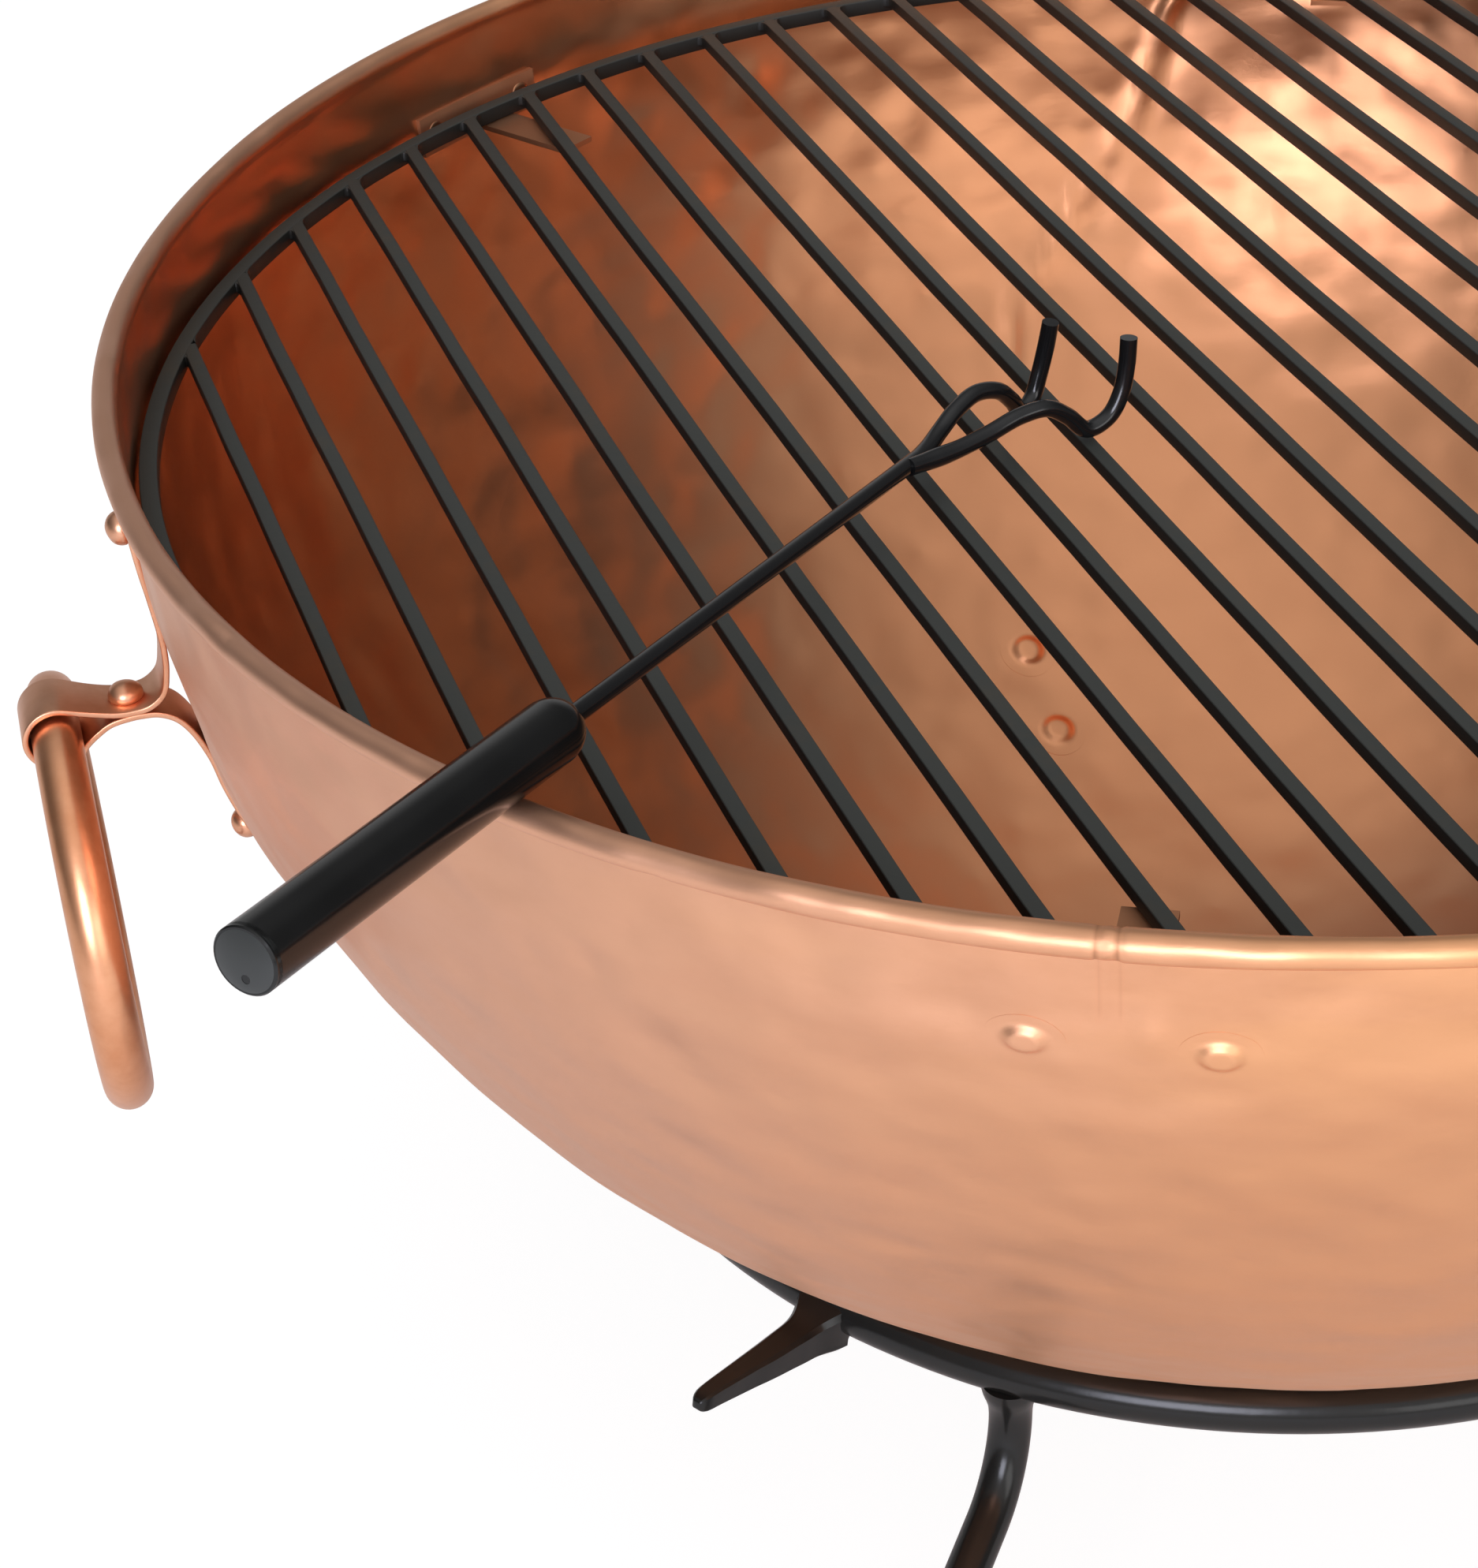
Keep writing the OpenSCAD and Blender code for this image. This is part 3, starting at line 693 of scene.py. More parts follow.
# A strap's two rivets: drops below the rim
STRAP_RIVET_DROPS = (0.0284, 0.1405)
# A stop: angle of its upper end round the wall's curve, how far on it starts, its length and
# how far apart its two rivets are
STOP_ANGLE = math.radians(50.6)
STOP_START = 0.009
STOP_LENGTH = 0.053
STOP_RIVET_PITCH = 0.039
# Height of a strap's neck above the handle's pivot, and how far inward its clamping rivet sits
NECK_RISE = 0.0039
CLAMP_SETBACK = 0.0237
# Height at which the bowl rests in the stand's ring, where the sheet is left true
SEAT_HEIGHT = 0.1839
# How strongly the marks, the ridge and the crumpled copper round it stand out
DENT_STRENGTH = 1.6
RIDGE_DEPTH = 1.6 * MM
RIDGE_LIPS = 0.75 * MM
CRUMPLE = 0.6 * MM


def angle_gap(a, b):
    return (a - b + 180) % 360 - 180


def handle_bulge(drop):
    """How far the wall swells behind a handle's strap, in metres."""
    return 0.0068 * ease(drop, 0.070, 0.140) * (1 - ease(drop, 0.160, 0.230))


def dent_lift(degrees, r, down):
    """How far the single marks push the sheet out, in mm."""
    lift = np.zeros(len(degrees))
    for azimuth, low, wide, tall, high in DENTS:
        across = np.radians(angle_gap(degrees, azimuth)) * np.maximum(r, 0.01) / (wide * MM)
        along = (down - low) / tall
        lift += high * np.exp(-2.2 * (across ** 2 + along ** 2))
    return lift * DENT_STRENGTH


def ridge_lift(place, degrees, r, down):
    """The crinkled ridge with its two lips and the crumpled copper round it, in metres."""
    ridge = np.array(RIDGE, float)
    middle = np.interp(down, ridge[:, 1], ridge[:, 0])
    across = np.radians(angle_gap(degrees, middle)) * r / MM + 1.6 * waves(place, 0.011, 21)
    lips = RIDGE_LIPS * hump(np.abs(across), 7.5, 4.0)
    furrow = RIDGE_DEPTH * hump(across, 0, 3.2) * (1 + 0.7 * waves(place, 0.013, 23))
    held = ease(down, 40, 60) * (1 - ease(down, 180, 205))
    near = hump(angle_gap(degrees, 66), 0, 22) * hump(down, 110, 80)
    crinkles = waves(place, 0.022, 31) + 0.6 * waves(place, 0.011, 33)
    return (lips - furrow) * held + CRUMPLE * near * crinkles


def sheet_lift(azimuth, r, z):
    """How far the sheet stands out from its true shape, in metres."""
    sizes = bpy.context.scene.firepit_bowl
    drop = sizes.rim_height - z
    down = drop / MM
    place = np.column_stack([r * np.cos(azimuth), r * np.sin(azimuth), z])
    degrees = np.degrees(azimuth)
    lift = sizes.planish * (
        1.8 * waves(place, 0.16, 3) + 1.1 * waves(place, 0.060, 5)
        + 0.55 * waves(place * (1, 1, 1.6), 0.030, 7) + 0.20 * waves(place, 0.016, 9))
    lift += dent_lift(degrees, r, down) * MM + ridge_lift(place, degrees, r, down)
    side = np.abs(angle_gap(degrees, 90)) - 90
    band = np.radians(np.minimum(np.abs(side), 60)) * r / MM
    under_strap = (1 - ease(band, 9.5, 18)) * (1 - ease(down, 160, 180))
    seat = hump(z, SEAT_HEIGHT, 0.012)
    lift *= ease(drop, 0.009, 0.022) * (1 - under_strap) * (1 - seat)
    return lift + handle_bulge(drop) * hump(band, 0, 55)


def bowl_azimuths():
    """Steps round the bowl, finer at the joint in the rolled edge and along the ridge."""
    seam = np.linspace(SEAM_AZIMUTH - 5.6, SEAM_AZIMUTH + 6.0, 59)
    ridge = np.linspace(66, 92, 66) + 360
    first = np.linspace(seam[-1], ridge[0], 178)[1:-1]
    second = np.linspace(ridge[-1], seam[0] + 360, 146)[1:-1]
    return np.radians(np.concatenate([seam, first, ridge, second]))


def wall_rows(radius, start, depth, steps):
    """Radius and height down one face of the wall, finer near its top."""
    fine = 0.06
    high = np.arcsin(np.linspace(0, fine, steps // 3, endpoint=False) / depth)
    low = np.linspace(math.asin(fine / depth), math.pi / 2, steps - len(high))
    slope = np.concatenate([high, low[:-1]])
    return np.column_stack([radius * np.cos(slope), start - depth * np.sin(slope)])


def rolled_edge(azimuths, row, middle, half):
    """One row round the rolled edge, uneven along its length and crinkled at the joint."""
    r, z = row
    here = np.column_stack([r * np.cos(azimuths), r * np.sin(azimuths), np.full(len(azimuths), z)])
    out = np.array([r - middle[0], z - middle[1]]) / half
    degrees = np.degrees(azimuths)
    gap = np.radians(angle_gap(degrees, SEAM_AZIMUTH)) * r / MM
    push = 0.30 * waves(here, 0.09, 41) + 0.12 * waves(here, 0.03, 43)
    push += 0.40 * hump(gap, 0, 2.6) * waves(here, 0.0022, 45)
    push -= 0.42 * hump(gap, 2.3, 0.8) + 0.38 * hump(gap, -2.3, 0.8)
    push -= 0.5 * hump(angle_gap(degrees, NICK_AZIMUTH), 0, 0.5) * max(0.0, -out[1])
    share = MM if r > middle[0] - half else 0.3 * MM
    return r + out[0] * push * share, z + out[1] * push * share


def seam_marks(azimuths, r, z, middle, inside):
    """Where the joint in the rolled edge shows as dark lines, 0 to 1."""
    gap = np.radians(angle_gap(np.degrees(azimuths), SEAM_AZIMUTH)) * r / MM
    lines = hump(np.abs(gap), 2.2, 0.6) + 0.35 * hump(gap, 0, 1.4)
    run = hump(z, middle[1], 0.007)
    drip = 0.45 * float(1 - ease(middle[1] - z, 0.022, 0.030))
    return lines * (0.35 * run if inside else max(run, drip))


def edge_rows(middle, half):
    """Radius and height of each row round the rolled edge, from the outside to the inside."""
    radius, start, _ = wall()
    inner = radius - bpy.context.scene.firepit_bowl.sheet
    turn = np.radians(np.linspace(-112, 200, 21))
    roll = [(middle[0] + half * math.cos(t), middle[1] + half * math.sin(t)) for t in turn]
    return [(radius - 0.0004, start + 0.0003), *roll,
            (inner - 0.0003, start + 0.0018), (inner - 0.0001, start + 0.0009)]


def make_bowl():
    """One closed sheet: up the outside, round the rolled edge and down the inside."""
    sizes = bpy.context.scene.firepit_bowl
    radius, start, depth = wall()
    azimuths = bowl_azimuths()
    count = len(azimuths)
    half = sizes.roll / 2
    middle = (sizes.rim_radius - half, sizes.rim_height - half)
    outer = wall_rows(radius, start, depth, 104)[::-1]
    inner = wall_rows(radius - sizes.sheet, start, depth - sizes.sheet, 78)
    edge = edge_rows(middle, half)
    sheet = np.vstack([outer, inner])
    flat = np.repeat(sheet, count, axis=0)
    normals = np.repeat([wall_normal(r, z) for r, z in sheet], count, axis=0)
    lift = sheet_lift(np.tile(azimuths, len(sheet)), flat[:, 0], flat[:, 1])
    r_sheet, z_sheet = (flat + normals * lift[:, None]).T.reshape(2, -1, count)
    rolled = [rolled_edge(azimuths, row, middle, half) for row in edge]
    split = len(outer)
    r_rows = np.vstack([r_sheet[:split], [r for r, _ in rolled], r_sheet[split:]])
    z_rows = np.vstack([z_sheet[:split], [z for _, z in rolled], z_sheet[split:]])
    points = np.column_stack([
        (r_rows * np.cos(azimuths)).ravel(), (r_rows * np.sin(azimuths)).ravel(), z_rows.ravel()])
    poles = [(0, 0, start - depth), (0, 0, start - depth + sizes.sheet)]
    rows = np.vstack([outer, edge, inner])
    faces = ring_faces(len(rows), count) + pole_faces(len(rows), count)
    mesh = mesh_from(np.vstack([points, poles]), faces, "bowl")
    edge_rows_inside = 4
    inside = np.arange(len(rows)) >= split + len(edge) - edge_rows_inside
    seams = np.concatenate([
        seam_marks(azimuths, r, z, middle, inner_side) if r > 0.3 else np.zeros(count)
        for (r, z), inner_side in zip(rows, inside)])
    add_marks(mesh, "seam", np.append(seams, [0, 0]))
    add_marks(mesh, "inside", np.append(np.repeat(inside, count), [False, True]))
    return mesh


def add_marks(mesh, name, values):
    """Gives each point of a mesh a value that a material can read."""
    marks = mesh.attributes.new(name, "FLOAT", "POINT")
    marks.data.foreach_set("value", values.astype(np.float32))


def mark_inside(piece):
    """Marks a piece as lying inside the bowl, where the copper is painted browner and darker as
    painted shade.
    """
    add_marks(piece.data, "inside", np.ones(len(piece.data.vertices)))


def bump_patch(azimuth, drop, width, height, squash=1.0, inside=False):
    """A rivet end hammered nearly flush: a low dome that follows the sheet and fades into it."""
    rings, sides, sunk = 12, 32, 0.0006
    share = np.minimum(np.arange(rings + 2), rings) / rings
    share = np.append(0, np.repeat(share[1:], sides))
    a = np.append(0, np.tile(math.tau * np.arange(sides) / sides, rings + 1))
    out = height * (1 - ease(share, 0.28, 0.66)) + (0.00015 if inside else 0.00006)
    out[-sides:] = -sunk
    if inside:
        out = -out - bpy.context.scene.firepit_bowl.sheet
    here = wall_at(drop)
    steep = wall_normal(*here)[0]
    angles = math.radians(azimuth) + width * share * np.cos(a) / here[0]
    drops = drop + width * squash * steep * share * np.sin(a)
    r, z = np.array([wall_at(down) for down in drops]).T
    lift = sheet_lift(angles, r, z)
    points = [around(t, *wall_at(down, up)) for t, down, up in zip(angles, drops, lift + out)]
    faces = [(0, 1 + (n + 1) % sides, 1 + n) for n in range(sides)]
    faces += ring_faces(rings + 1, sides, first=1)
    faces.append(range(len(points) - sides, len(points)))
    return points, faces


# ---------------------------------------------------------------- finishes


def planished_copper(name="planished_copper", inside=None, matt=0.0):
    """Beaten sheet: soft hammer marks; painted shade makes it darker low down and on the left, and
    darker and browner inside the bowl.
    """
    sizes = bpy.context.scene.firepit_bowl
    work = Finish(name)
    broad = work.noise(5.0, 3.0, 0.55)
    bands = work.noise(8.0, 4.0, 0.6, squash=4.5)
    small = work.noise(42.0, 3.0, 0.6, squash=1.8)
    seam = work.attribute("seam")
    if inside is None:
        inside = work.attribute("inside")
    across, ahead, height = (work.part(work.place, axis) for axis in range(3))
    # Painted shade: the copper is painted darker below about 0.36 m, where it mirrors the shadowed
    # floor
    low = height.between(0.465, 0.36)
    # Painted shade: mask for the pinker, duller painted shade on the bowl's left
    left = across.between(-0.12, -0.36)
    # Painted shade: mask for the darker paint on the inside floor towards the front
    front_shade_mask = ahead.between(0.14, 0.02) * height.between(0.36, 0.26)
    # Painted shade: mask for the dark brown paint on the upper left of the inside
    upper_left_inside_mask = across.between(-0.04, -0.24) * height.between(0.455, 0.405)
    layers = (
        ((broad * 0.6 + bands * 0.4).between(0.38, 0.62), sizes.blush),
        ((small * 0.5 + bands * 0.5).between(0.40, 0.70) * 0.6, sizes.worn),
        (low * 0.9, sizes.lower),
        (left * 0.8, sizes.outside_left_shade),
        # Painted shade: the inside is painted darker and more saturated
        (inside * 0.8, sizes.bounced_shade),
        (front_shade_mask * inside * 0.9, sizes.floor_front_shade),
        (upper_left_inside_mask * inside * 0.85, sizes.upper_left_inside_shade),
        (seam.between(0.12, 0.9) * 0.8, sizes.grime))
    colour = tuple(sizes.copper)
    for share, over in layers:
        colour = work.tint(share, colour, tuple(over))
    beaten = work.cells(34.0, 1.25) * 0.5 + work.noise(30.0, 1.0, 0.4, squash=1.3) * 0.8
    fine = work.noise(150.0, 2.0, 0.6, squash=2.2)
    grain = work.noise(900.0, 1.0, 0.5, squash=3.0)
    soft = work.bump(beaten, 0.0048, 0.92 - inside * 0.47)
    finer = work.bump(fine * 0.8 + grain * 0.2, 0.00022, 0.42 - inside * 0.22, normal=soft)
    gloss = 0.35 + matt + bands * 0.12 + small * 0.10 + seam * 0.2 - inside * 0.12
    return work.surface(Base_Color=colour, Metallic=1.0, Roughness=gloss, Normal=finer)


def worked_copper(name, colour, roughness):
    """Strap, rivet and tube copper: small marks and a slightly uneven polish."""
    work = Finish(name)
    broad = work.noise(22.0, 3.0, 0.6)
    small = work.noise(140.0, 3.0, 0.6)
    darker = tuple(c * f for c, f in zip(colour, (0.88, 0.78, 0.70)))
    shade = work.tint((broad * 0.6 + small * 0.4).between(0.35, 0.7), tuple(colour), darker)
    marks = work.bump(small * 0.6 + work.noise(420.0) * 0.4, 0.0001, 0.5)
    return work.surface(
        Base_Color=shade, Metallic=1.0, Roughness=roughness + broad * 0.12, Normal=marks)


def blackened_steel(name, colour, roughness, depth=0.0002, warm=(0.05, 0.035, 0.02), side=None,
                    shine=0.5):
    """Painted or oiled black steel: uneven satin; where a side colour is given, faces that do not
    point up are painted darker as painted shade.
    """
    work = Finish(name)
    broad = work.noise(16.0, 4.0, 0.6)
    small = work.noise(170.0, 3.0, 0.6)
    shade = work.tint((broad * 0.7 + small * 0.3).between(0.5, 0.75) * 0.5, tuple(colour), warm)
    # Painted shade: faces that turn away from straight up get the darker side colour
    if side:
        up = work.part(work.add("ShaderNodeNewGeometry", out="Normal"), 2)
        shade = work.tint(up.between(0.35, 0.9), side, shade)
    marks = work.bump(small * 0.5 + work.noise(60.0) * 0.5, depth, 0.6)
    return work.surface(
        Base_Color=shade, Metallic=0.0, Roughness=roughness + broad * 0.12,
        Specular_IOR_Level=shine, Normal=marks)


def moulded_black():
    work = Finish("grip_black")
    broad = work.noise(30.0)
    return work.surface(
        Base_Color=work.tint(broad.between(0.3, 0.7), (0.004,) * 3, (0.006,) * 3),
        Metallic=0.0, Roughness=0.15 + broad * 0.06, Specular_IOR_Level=0.42,
        Normal=work.bump(work.noise(700.0, 2.0, 0.6), 0.00003, 0.25))


def white_floor():
    """A matt floor that glows towards the camera, so that it comes out white."""
    look = bpy.context.scene.firepit_stage
    material = bpy.data.materials.new("white_floor")
    material.use_nodes = True
    work = Shop(material.node_tree)
    seen = work.add("ShaderNodeLightPath", out="Is Camera Ray")
    matt = work.add("ShaderNodeBsdfDiffuse", None, {"Color": (*look.floor, 1)})
    glow = work.add("ShaderNodeEmission", None, {"Color": (1, 1, 1, 1), "Strength": 1.12})
    both = work.add("ShaderNodeMixShader", None, {0: seen * 0.8, 1: matt, 2: glow})
    work.add("ShaderNodeOutputMaterial", None, {"Surface": both})
    return material


@lru_cache(maxsize=None)
def finish(name):
    """Each finish is made once and shared."""
    scene = bpy.context.scene
    handle, grate = scene.firepit_handle, scene.firepit_grate
    makers = {
        "planished_copper": planished_copper,
        "inside_copper": lambda: planished_copper(name, 1.0, matt=0.25),
        "strap_copper": lambda: worked_copper(name, handle.copper, 0.30),
        "rivet_copper": lambda: worked_copper(name, handle.copper, 0.27),
        "tube_copper": lambda: worked_copper(name, handle.tube_copper, 0.27),
        "grate_black": lambda: blackened_steel(name, grate.steel, 0.50, side=tuple(grate.side)),
        "stand_black": lambda: blackened_steel(
            name, scene.firepit_stand.steel, 0.15, warm=(0.014, 0.011, 0.008), shine=0.36),
        "fork_black": lambda: blackened_steel(
            name, scene.firepit_fork.black, 0.12, 0.00006, (0.006,) * 3),
        "grip_black": moulded_black,
        "cap_grey": lambda: blackened_steel(
            name, (0.028, 0.030, 0.029), 0.22, 0.00003, (0.032, 0.032, 0.031))}
    return makers[name]()


# ---------------------------------------------------------------- pieces and operators


class FIREPIT_OT_bowl(Operator):
    """Beat the bowl out of one sheet, with its rolled edge"""
    bl_idname = "firepit.bowl"
    bl_label = "Bowl"

    def execute(self, context):
        bowl = coat(link_object("copper_bowl", make_bowl()), finish("planished_copper"))
        settle(bowl, "bowl", "copper", "bowl_shell")
        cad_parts["rim_wire"].data.materials.clear()
        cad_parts["rim_wire"].data.materials.append(finish("stand_black"))
        return {"FINISHED"}


def rivet_outline(radius, height, dip=0.0):
    """A button head that bulges a little past its foot."""
    line = [(0, -dip)]
    line += [(radius * 0.93, -dip), (radius * 0.985, height * 0.08), (radius, height * 0.2)]
    for k in range(1, 10):
        a = math.radians(9 * k)
        line.append((radius * math.cos(a), height * (0.2 + 0.8 * math.sin(a))))
    line.append((0, height))
    return line


def wall_place(azimuth, drop, out, inward=False):
    """Point on the wall, and the turn that makes Z point off it."""
    r, z = wall_at(drop, out)
    nr, nz = wall_normal(r, z)
    sign = -1 if inward else 1
    a = math.radians(azimuth)
    off = Vector((nr * math.cos(a), nr * math.sin(a), nz)) * sign
    turn = off.to_track_quat("Z", "Y").to_euler()
    return around(a, r, z), tuple(turn)


def set_out(name, outline, places, nodes=(), seed=1, material="rivet_copper"):
    """Rivet ends turned from one outline and set on the bowl, as one piece."""
    recipe = set_out_recipe()
    pattern = link_object("pattern", turned_mesh(outline, 24))
    rough = np.random.default_rng(seed).uniform(0.95, 1.05, (len(places), 3))
    base = place_mesh([p for p, _ in places], [t for _, t in places], rough)
    piece = recipe.make(
        name, base, Pattern=pattern, Waver=0.00025, Waver_Scale=160.0, Material=finish(material))
    bpy.data.objects.remove(pattern)
    return settle(piece, "bowl", "bright_copper", *nodes)


def stop_drop(share):
    """Drop of a point on a stop, from its upper end (0) to its lower end (1)."""
    radius, start, depth = wall()
    angle = STOP_ANGLE + (STOP_START + STOP_LENGTH * share) / ((radius + depth) / 2)
    return bpy.context.scene.firepit_bowl.rim_height - (start - depth * math.sin(angle))


class FIREPIT_OT_rivets(Operator):
    """Set every rivet: supports, stops and straps"""
    bl_idname = "firepit.rivets"
    bl_label = "Rivets"

    def execute(self, context):
        sheet = context.scene.firepit_bowl.sheet
        half = math.degrees(math.asin(SUPPORT_RIVET_PITCH / 2 / SUPPORT_WALL_RADIUS))
        supports = [a + s * half for a in SUPPORT_AZIMUTHS for s in (-1, 1)]
        stops = [(a, stop_drop(0.5 + s * STOP_RIVET_PITCH / 2 / STOP_LENGTH))
                 for a in STOP_AZIMUTHS for s in (-1, 1)]
        straps = [(a, d, float(handle_bulge(d)))
                  for a in HANDLE_AZIMUTHS.values() for d in STRAP_RIVET_DROPS]
        necks = [around(math.radians(a), pivot()[0] - CLAMP_SETBACK, neck_height())
                 for a in HANDLE_AZIMUTHS.values()]
        outer = [bump_patch(a, SUPPORT_DROP, width=0.0104, height=0.0017, squash=0.78)
                 for a in supports]
        inner = [bump_patch(a, d, width=0.0122, height=0.0019, inside=True) for a, d in stops]
        for name, bumps, nodes in (("support_rivet_heads", outer, ["support_rivets"]),
                                   ("stop_rivet_tails", inner, [])):
            ends = shaped(name, joined(bumps, name), finish("planished_copper"), 40)
            settle(ends, "bowl", "bright_copper", *nodes)
        mark_inside(ends)
        tails = set_out(
            "support_rivet_tails", rivet_outline(0.0040, 0.0010),
            [wall_place(a, SUPPORT_DROP, -sheet - 0.002, True) for a in supports],
            seed=4, material="planished_copper")
        mark_inside(tails)
        # Name, radius, height and dip of the outline, random draw, what it stands for and places
        turned = (
            ("stop_rivet_heads", (0.0051, 0.0034), 5, ["stop_rivets"],
             [wall_place(a, d, 0.0025) for a, d in stops]),
            ("strap_rivet_heads", (0.0054, 0.0058), 7, ["strap_rivets"],
             [wall_place(a, d, 0.00205 + bulge) for a, d, bulge in straps]),
            ("strap_rivet_tails", (0.0046, 0.0018), 8, [],
             [wall_place(a, d, bulge - sheet, True) for a, d, bulge in straps]),
            ("clamp_rivet_heads", (0.0056, 0.0054, GAP), 9, ["clamp_rivets"],
             [(neck + Vector((0, 0, 0.001)), (0, 0, 0)) for neck in necks]),
            ("clamp_rivet_ends", (0.0044, 0.0018, GAP), 10, [],
             [(neck - Vector((0, 0, 0.0031)), (math.pi, 0, 0)) for neck in necks]))
        for name, outline, seed, nodes, places in turned:
            set_out(name, rivet_outline(*outline), places, nodes, seed)
        return {"FINISHED"}


def pivot():
    """Radius and height of a handle's pivot."""
    low, high = box("ring_handle_right")
    tube = bpy.context.scene.firepit_handle.tube
    return (low.x + high.x) / 2, high.z - tube / 2


def neck_height():
    return pivot()[1] + NECK_RISE


def strap_line():
    """Middle line of the strap in its upright plane, from its top end to its lower end."""
    sizes = bpy.context.scene.firepit_handle
    half = sizes.strap_thickness / 2 + 0.00005
    radius = wall()[0]
    pr, pz = pivot()
    neck, low = neck_height(), neck_height() - sizes.strap_thickness - 0.0001
    loop = sizes.tube / 2 + 0.0006 + sizes.strap_thickness / 2 + 0.0003
    line = [wall_at(0.0174 + 0.0082 * k, half) for k in range(5)]
    line += [(radius - 0.0033, neck + 0.021), (radius - 0.0026, neck + 0.0115),
             (radius - 0.0006, neck + 0.0045), (radius + 0.0042, neck + 0.0006),
             (radius + 0.010, neck - 0.0003), (pr - 0.0195, neck + 0.0001),
             (pr - 0.0120, neck + 0.0022)]
    line += [(pr + loop * math.cos(math.radians(a)), pz + loop * math.sin(math.radians(a)))
             for a in range(112, -149, -10)]
    line += [(pr - 0.0125, pz - 0.0020), (pr - 0.0172, low - 0.0011), (pr - 0.0235, low),
             (radius + 0.007, low + 0.0001), (radius + 0.0020, low - 0.0005),
             (radius - 0.0032, low - 0.0034), (radius - 0.0073, low - 0.0090)]
    line += [wall_at(drop, half + float(handle_bulge(drop)))
             for drop in np.linspace(0.1105, 0.1549, 5)]
    return curve_through(line, 0.0008)


def band_mesh(line, width, thickness, corner):
    """A flat band with rounded corners along an upright line, closed at both ends."""
    end_size, tip_length, loop_length = 0.72, 0.0035, 0.024
    along = np.gradient(line, axis=0)
    along /= np.linalg.norm(along, axis=1)[:, None]
    off = np.column_stack([-along[:, 1], along[:, 0]])
    section = []
    for sx, sy, start in ((1, 1, 0), (-1, 1, 90), (-1, -1, 180), (1, -1, 270)):
        for k in range(4):
            a = math.radians(start + 30 * k)
            section.append((sx * (width / 2 - corner) + corner * math.cos(a),
                            sy * (thickness / 2 - corner) + corner * math.sin(a)))
    sides = len(section)
    points = []
    rows = [(0, end_size), *[(k, 1.0) for k in range(len(line))], (len(line) - 1, end_size)]
    run = run_along(line)
    at_loop = run[np.argmax(line[:, 0])]
    wide = 1 + 0.17 * hump(run, at_loop, loop_length, power=4)
    for n, (k, size) in enumerate(rows):
        push = {0: -corner, len(rows) - 1: corner}.get(n, 0.0)
        near = min(run[k], run[-1] - run[k])
        rounded = math.sqrt(1 - max(0.0, 1 - near / tip_length) ** 2)
        shrink = 0.78 + 0.22 * rounded
        for across, up in section:
            p = line[k] + off[k] * up * size + along[k] * push
            points.append((p[0], across * wide[k] * shrink * (1 if size == 1 else 0.97), p[1]))
    faces = ring_faces(len(rows), sides) + end_faces(len(rows), sides)
    return face_out(mesh_from(points, faces, "strap"))


class FIREPIT_OT_straps(Operator):
    """Bend the copper straps that hold the ring handles"""
    bl_idname = "firepit.straps"
    bl_label = "Handle Straps"

    def execute(self, context):
        sizes = context.scene.firepit_handle
        line = strap_line()
        for side, azimuth in HANDLE_AZIMUTHS.items():
            mesh = band_mesh(line, sizes.strap_width, sizes.strap_thickness, 0.0005)
            mesh.transform(Matrix.Rotation(math.radians(azimuth), 4, "Z"))
            strap = shaped("strap_" + side, mesh, finish("strap_copper"), 50)
            settle(strap, "bowl", "copper", "handle_strap_" + side)
        return {"FINISHED"}


class FIREPIT_OT_ring_handles(Operator):
    """Bend the copper tube ring handles"""
    bl_idname = "firepit.ring_handles"
    bl_label = "Ring Handles"

    def execute(self, context):
        sizes = context.scene.firepit_handle
        pr, pz = pivot()
        for side, azimuth in HANDLE_AZIMUTHS.items():
            x = pr * math.cos(math.radians(azimuth))
            ring = [
                (x, sizes.ring * math.sin(a), pz - sizes.ring + sizes.ring * math.cos(a))
                for a in np.linspace(0, math.tau, 160, endpoint=False)]
            piece = round_bar(
                "handle_ring_" + side, ring, sizes.tube / 2, 40, (0.00012, 14.0), "tube_copper",
                closed=True)
            settle(piece, side + "_handle", "copper_tube", "ring_handle_" + side)
        return {"FINISHED"}


class FIREPIT_OT_brackets(Operator):
    """Finish the supports and stops"""
    bl_idname = "firepit.brackets"
    bl_label = "Supports and Stops"

    def execute(self, context):
        for name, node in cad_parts.items():
            if name.startswith(("grate_support", "bowl_stop")):
                coat(node, finish("inside_copper"), smooth=False)
        return {"FINISHED"}


def grate_place():
    """Where the grate lies: turned a little and slid to one side."""
    sizes = bpy.context.scene.firepit_grate
    middle = (sizes.middle[0], sizes.middle[1], sizes.height - sizes.bar / 2)
    return Matrix.Translation(middle) @ Matrix.Rotation(sizes.turn, 4, "Z")


def grate_lines(sunk=0.0015):
    """Both ends of each bar's middle line; the ends run a little into the ring."""
    sizes = bpy.context.scene.firepit_grate
    inside = sizes.radius - sizes.bar
    lines = []
    for k in range(-sizes.side_bars, sizes.side_bars + 1):
        x = k * sizes.pitch
        half = math.sqrt(inside ** 2 - x ** 2) + sunk
        lines.append([Vector((x, -half, 0)), Vector((x, half, 0))])
    return lines


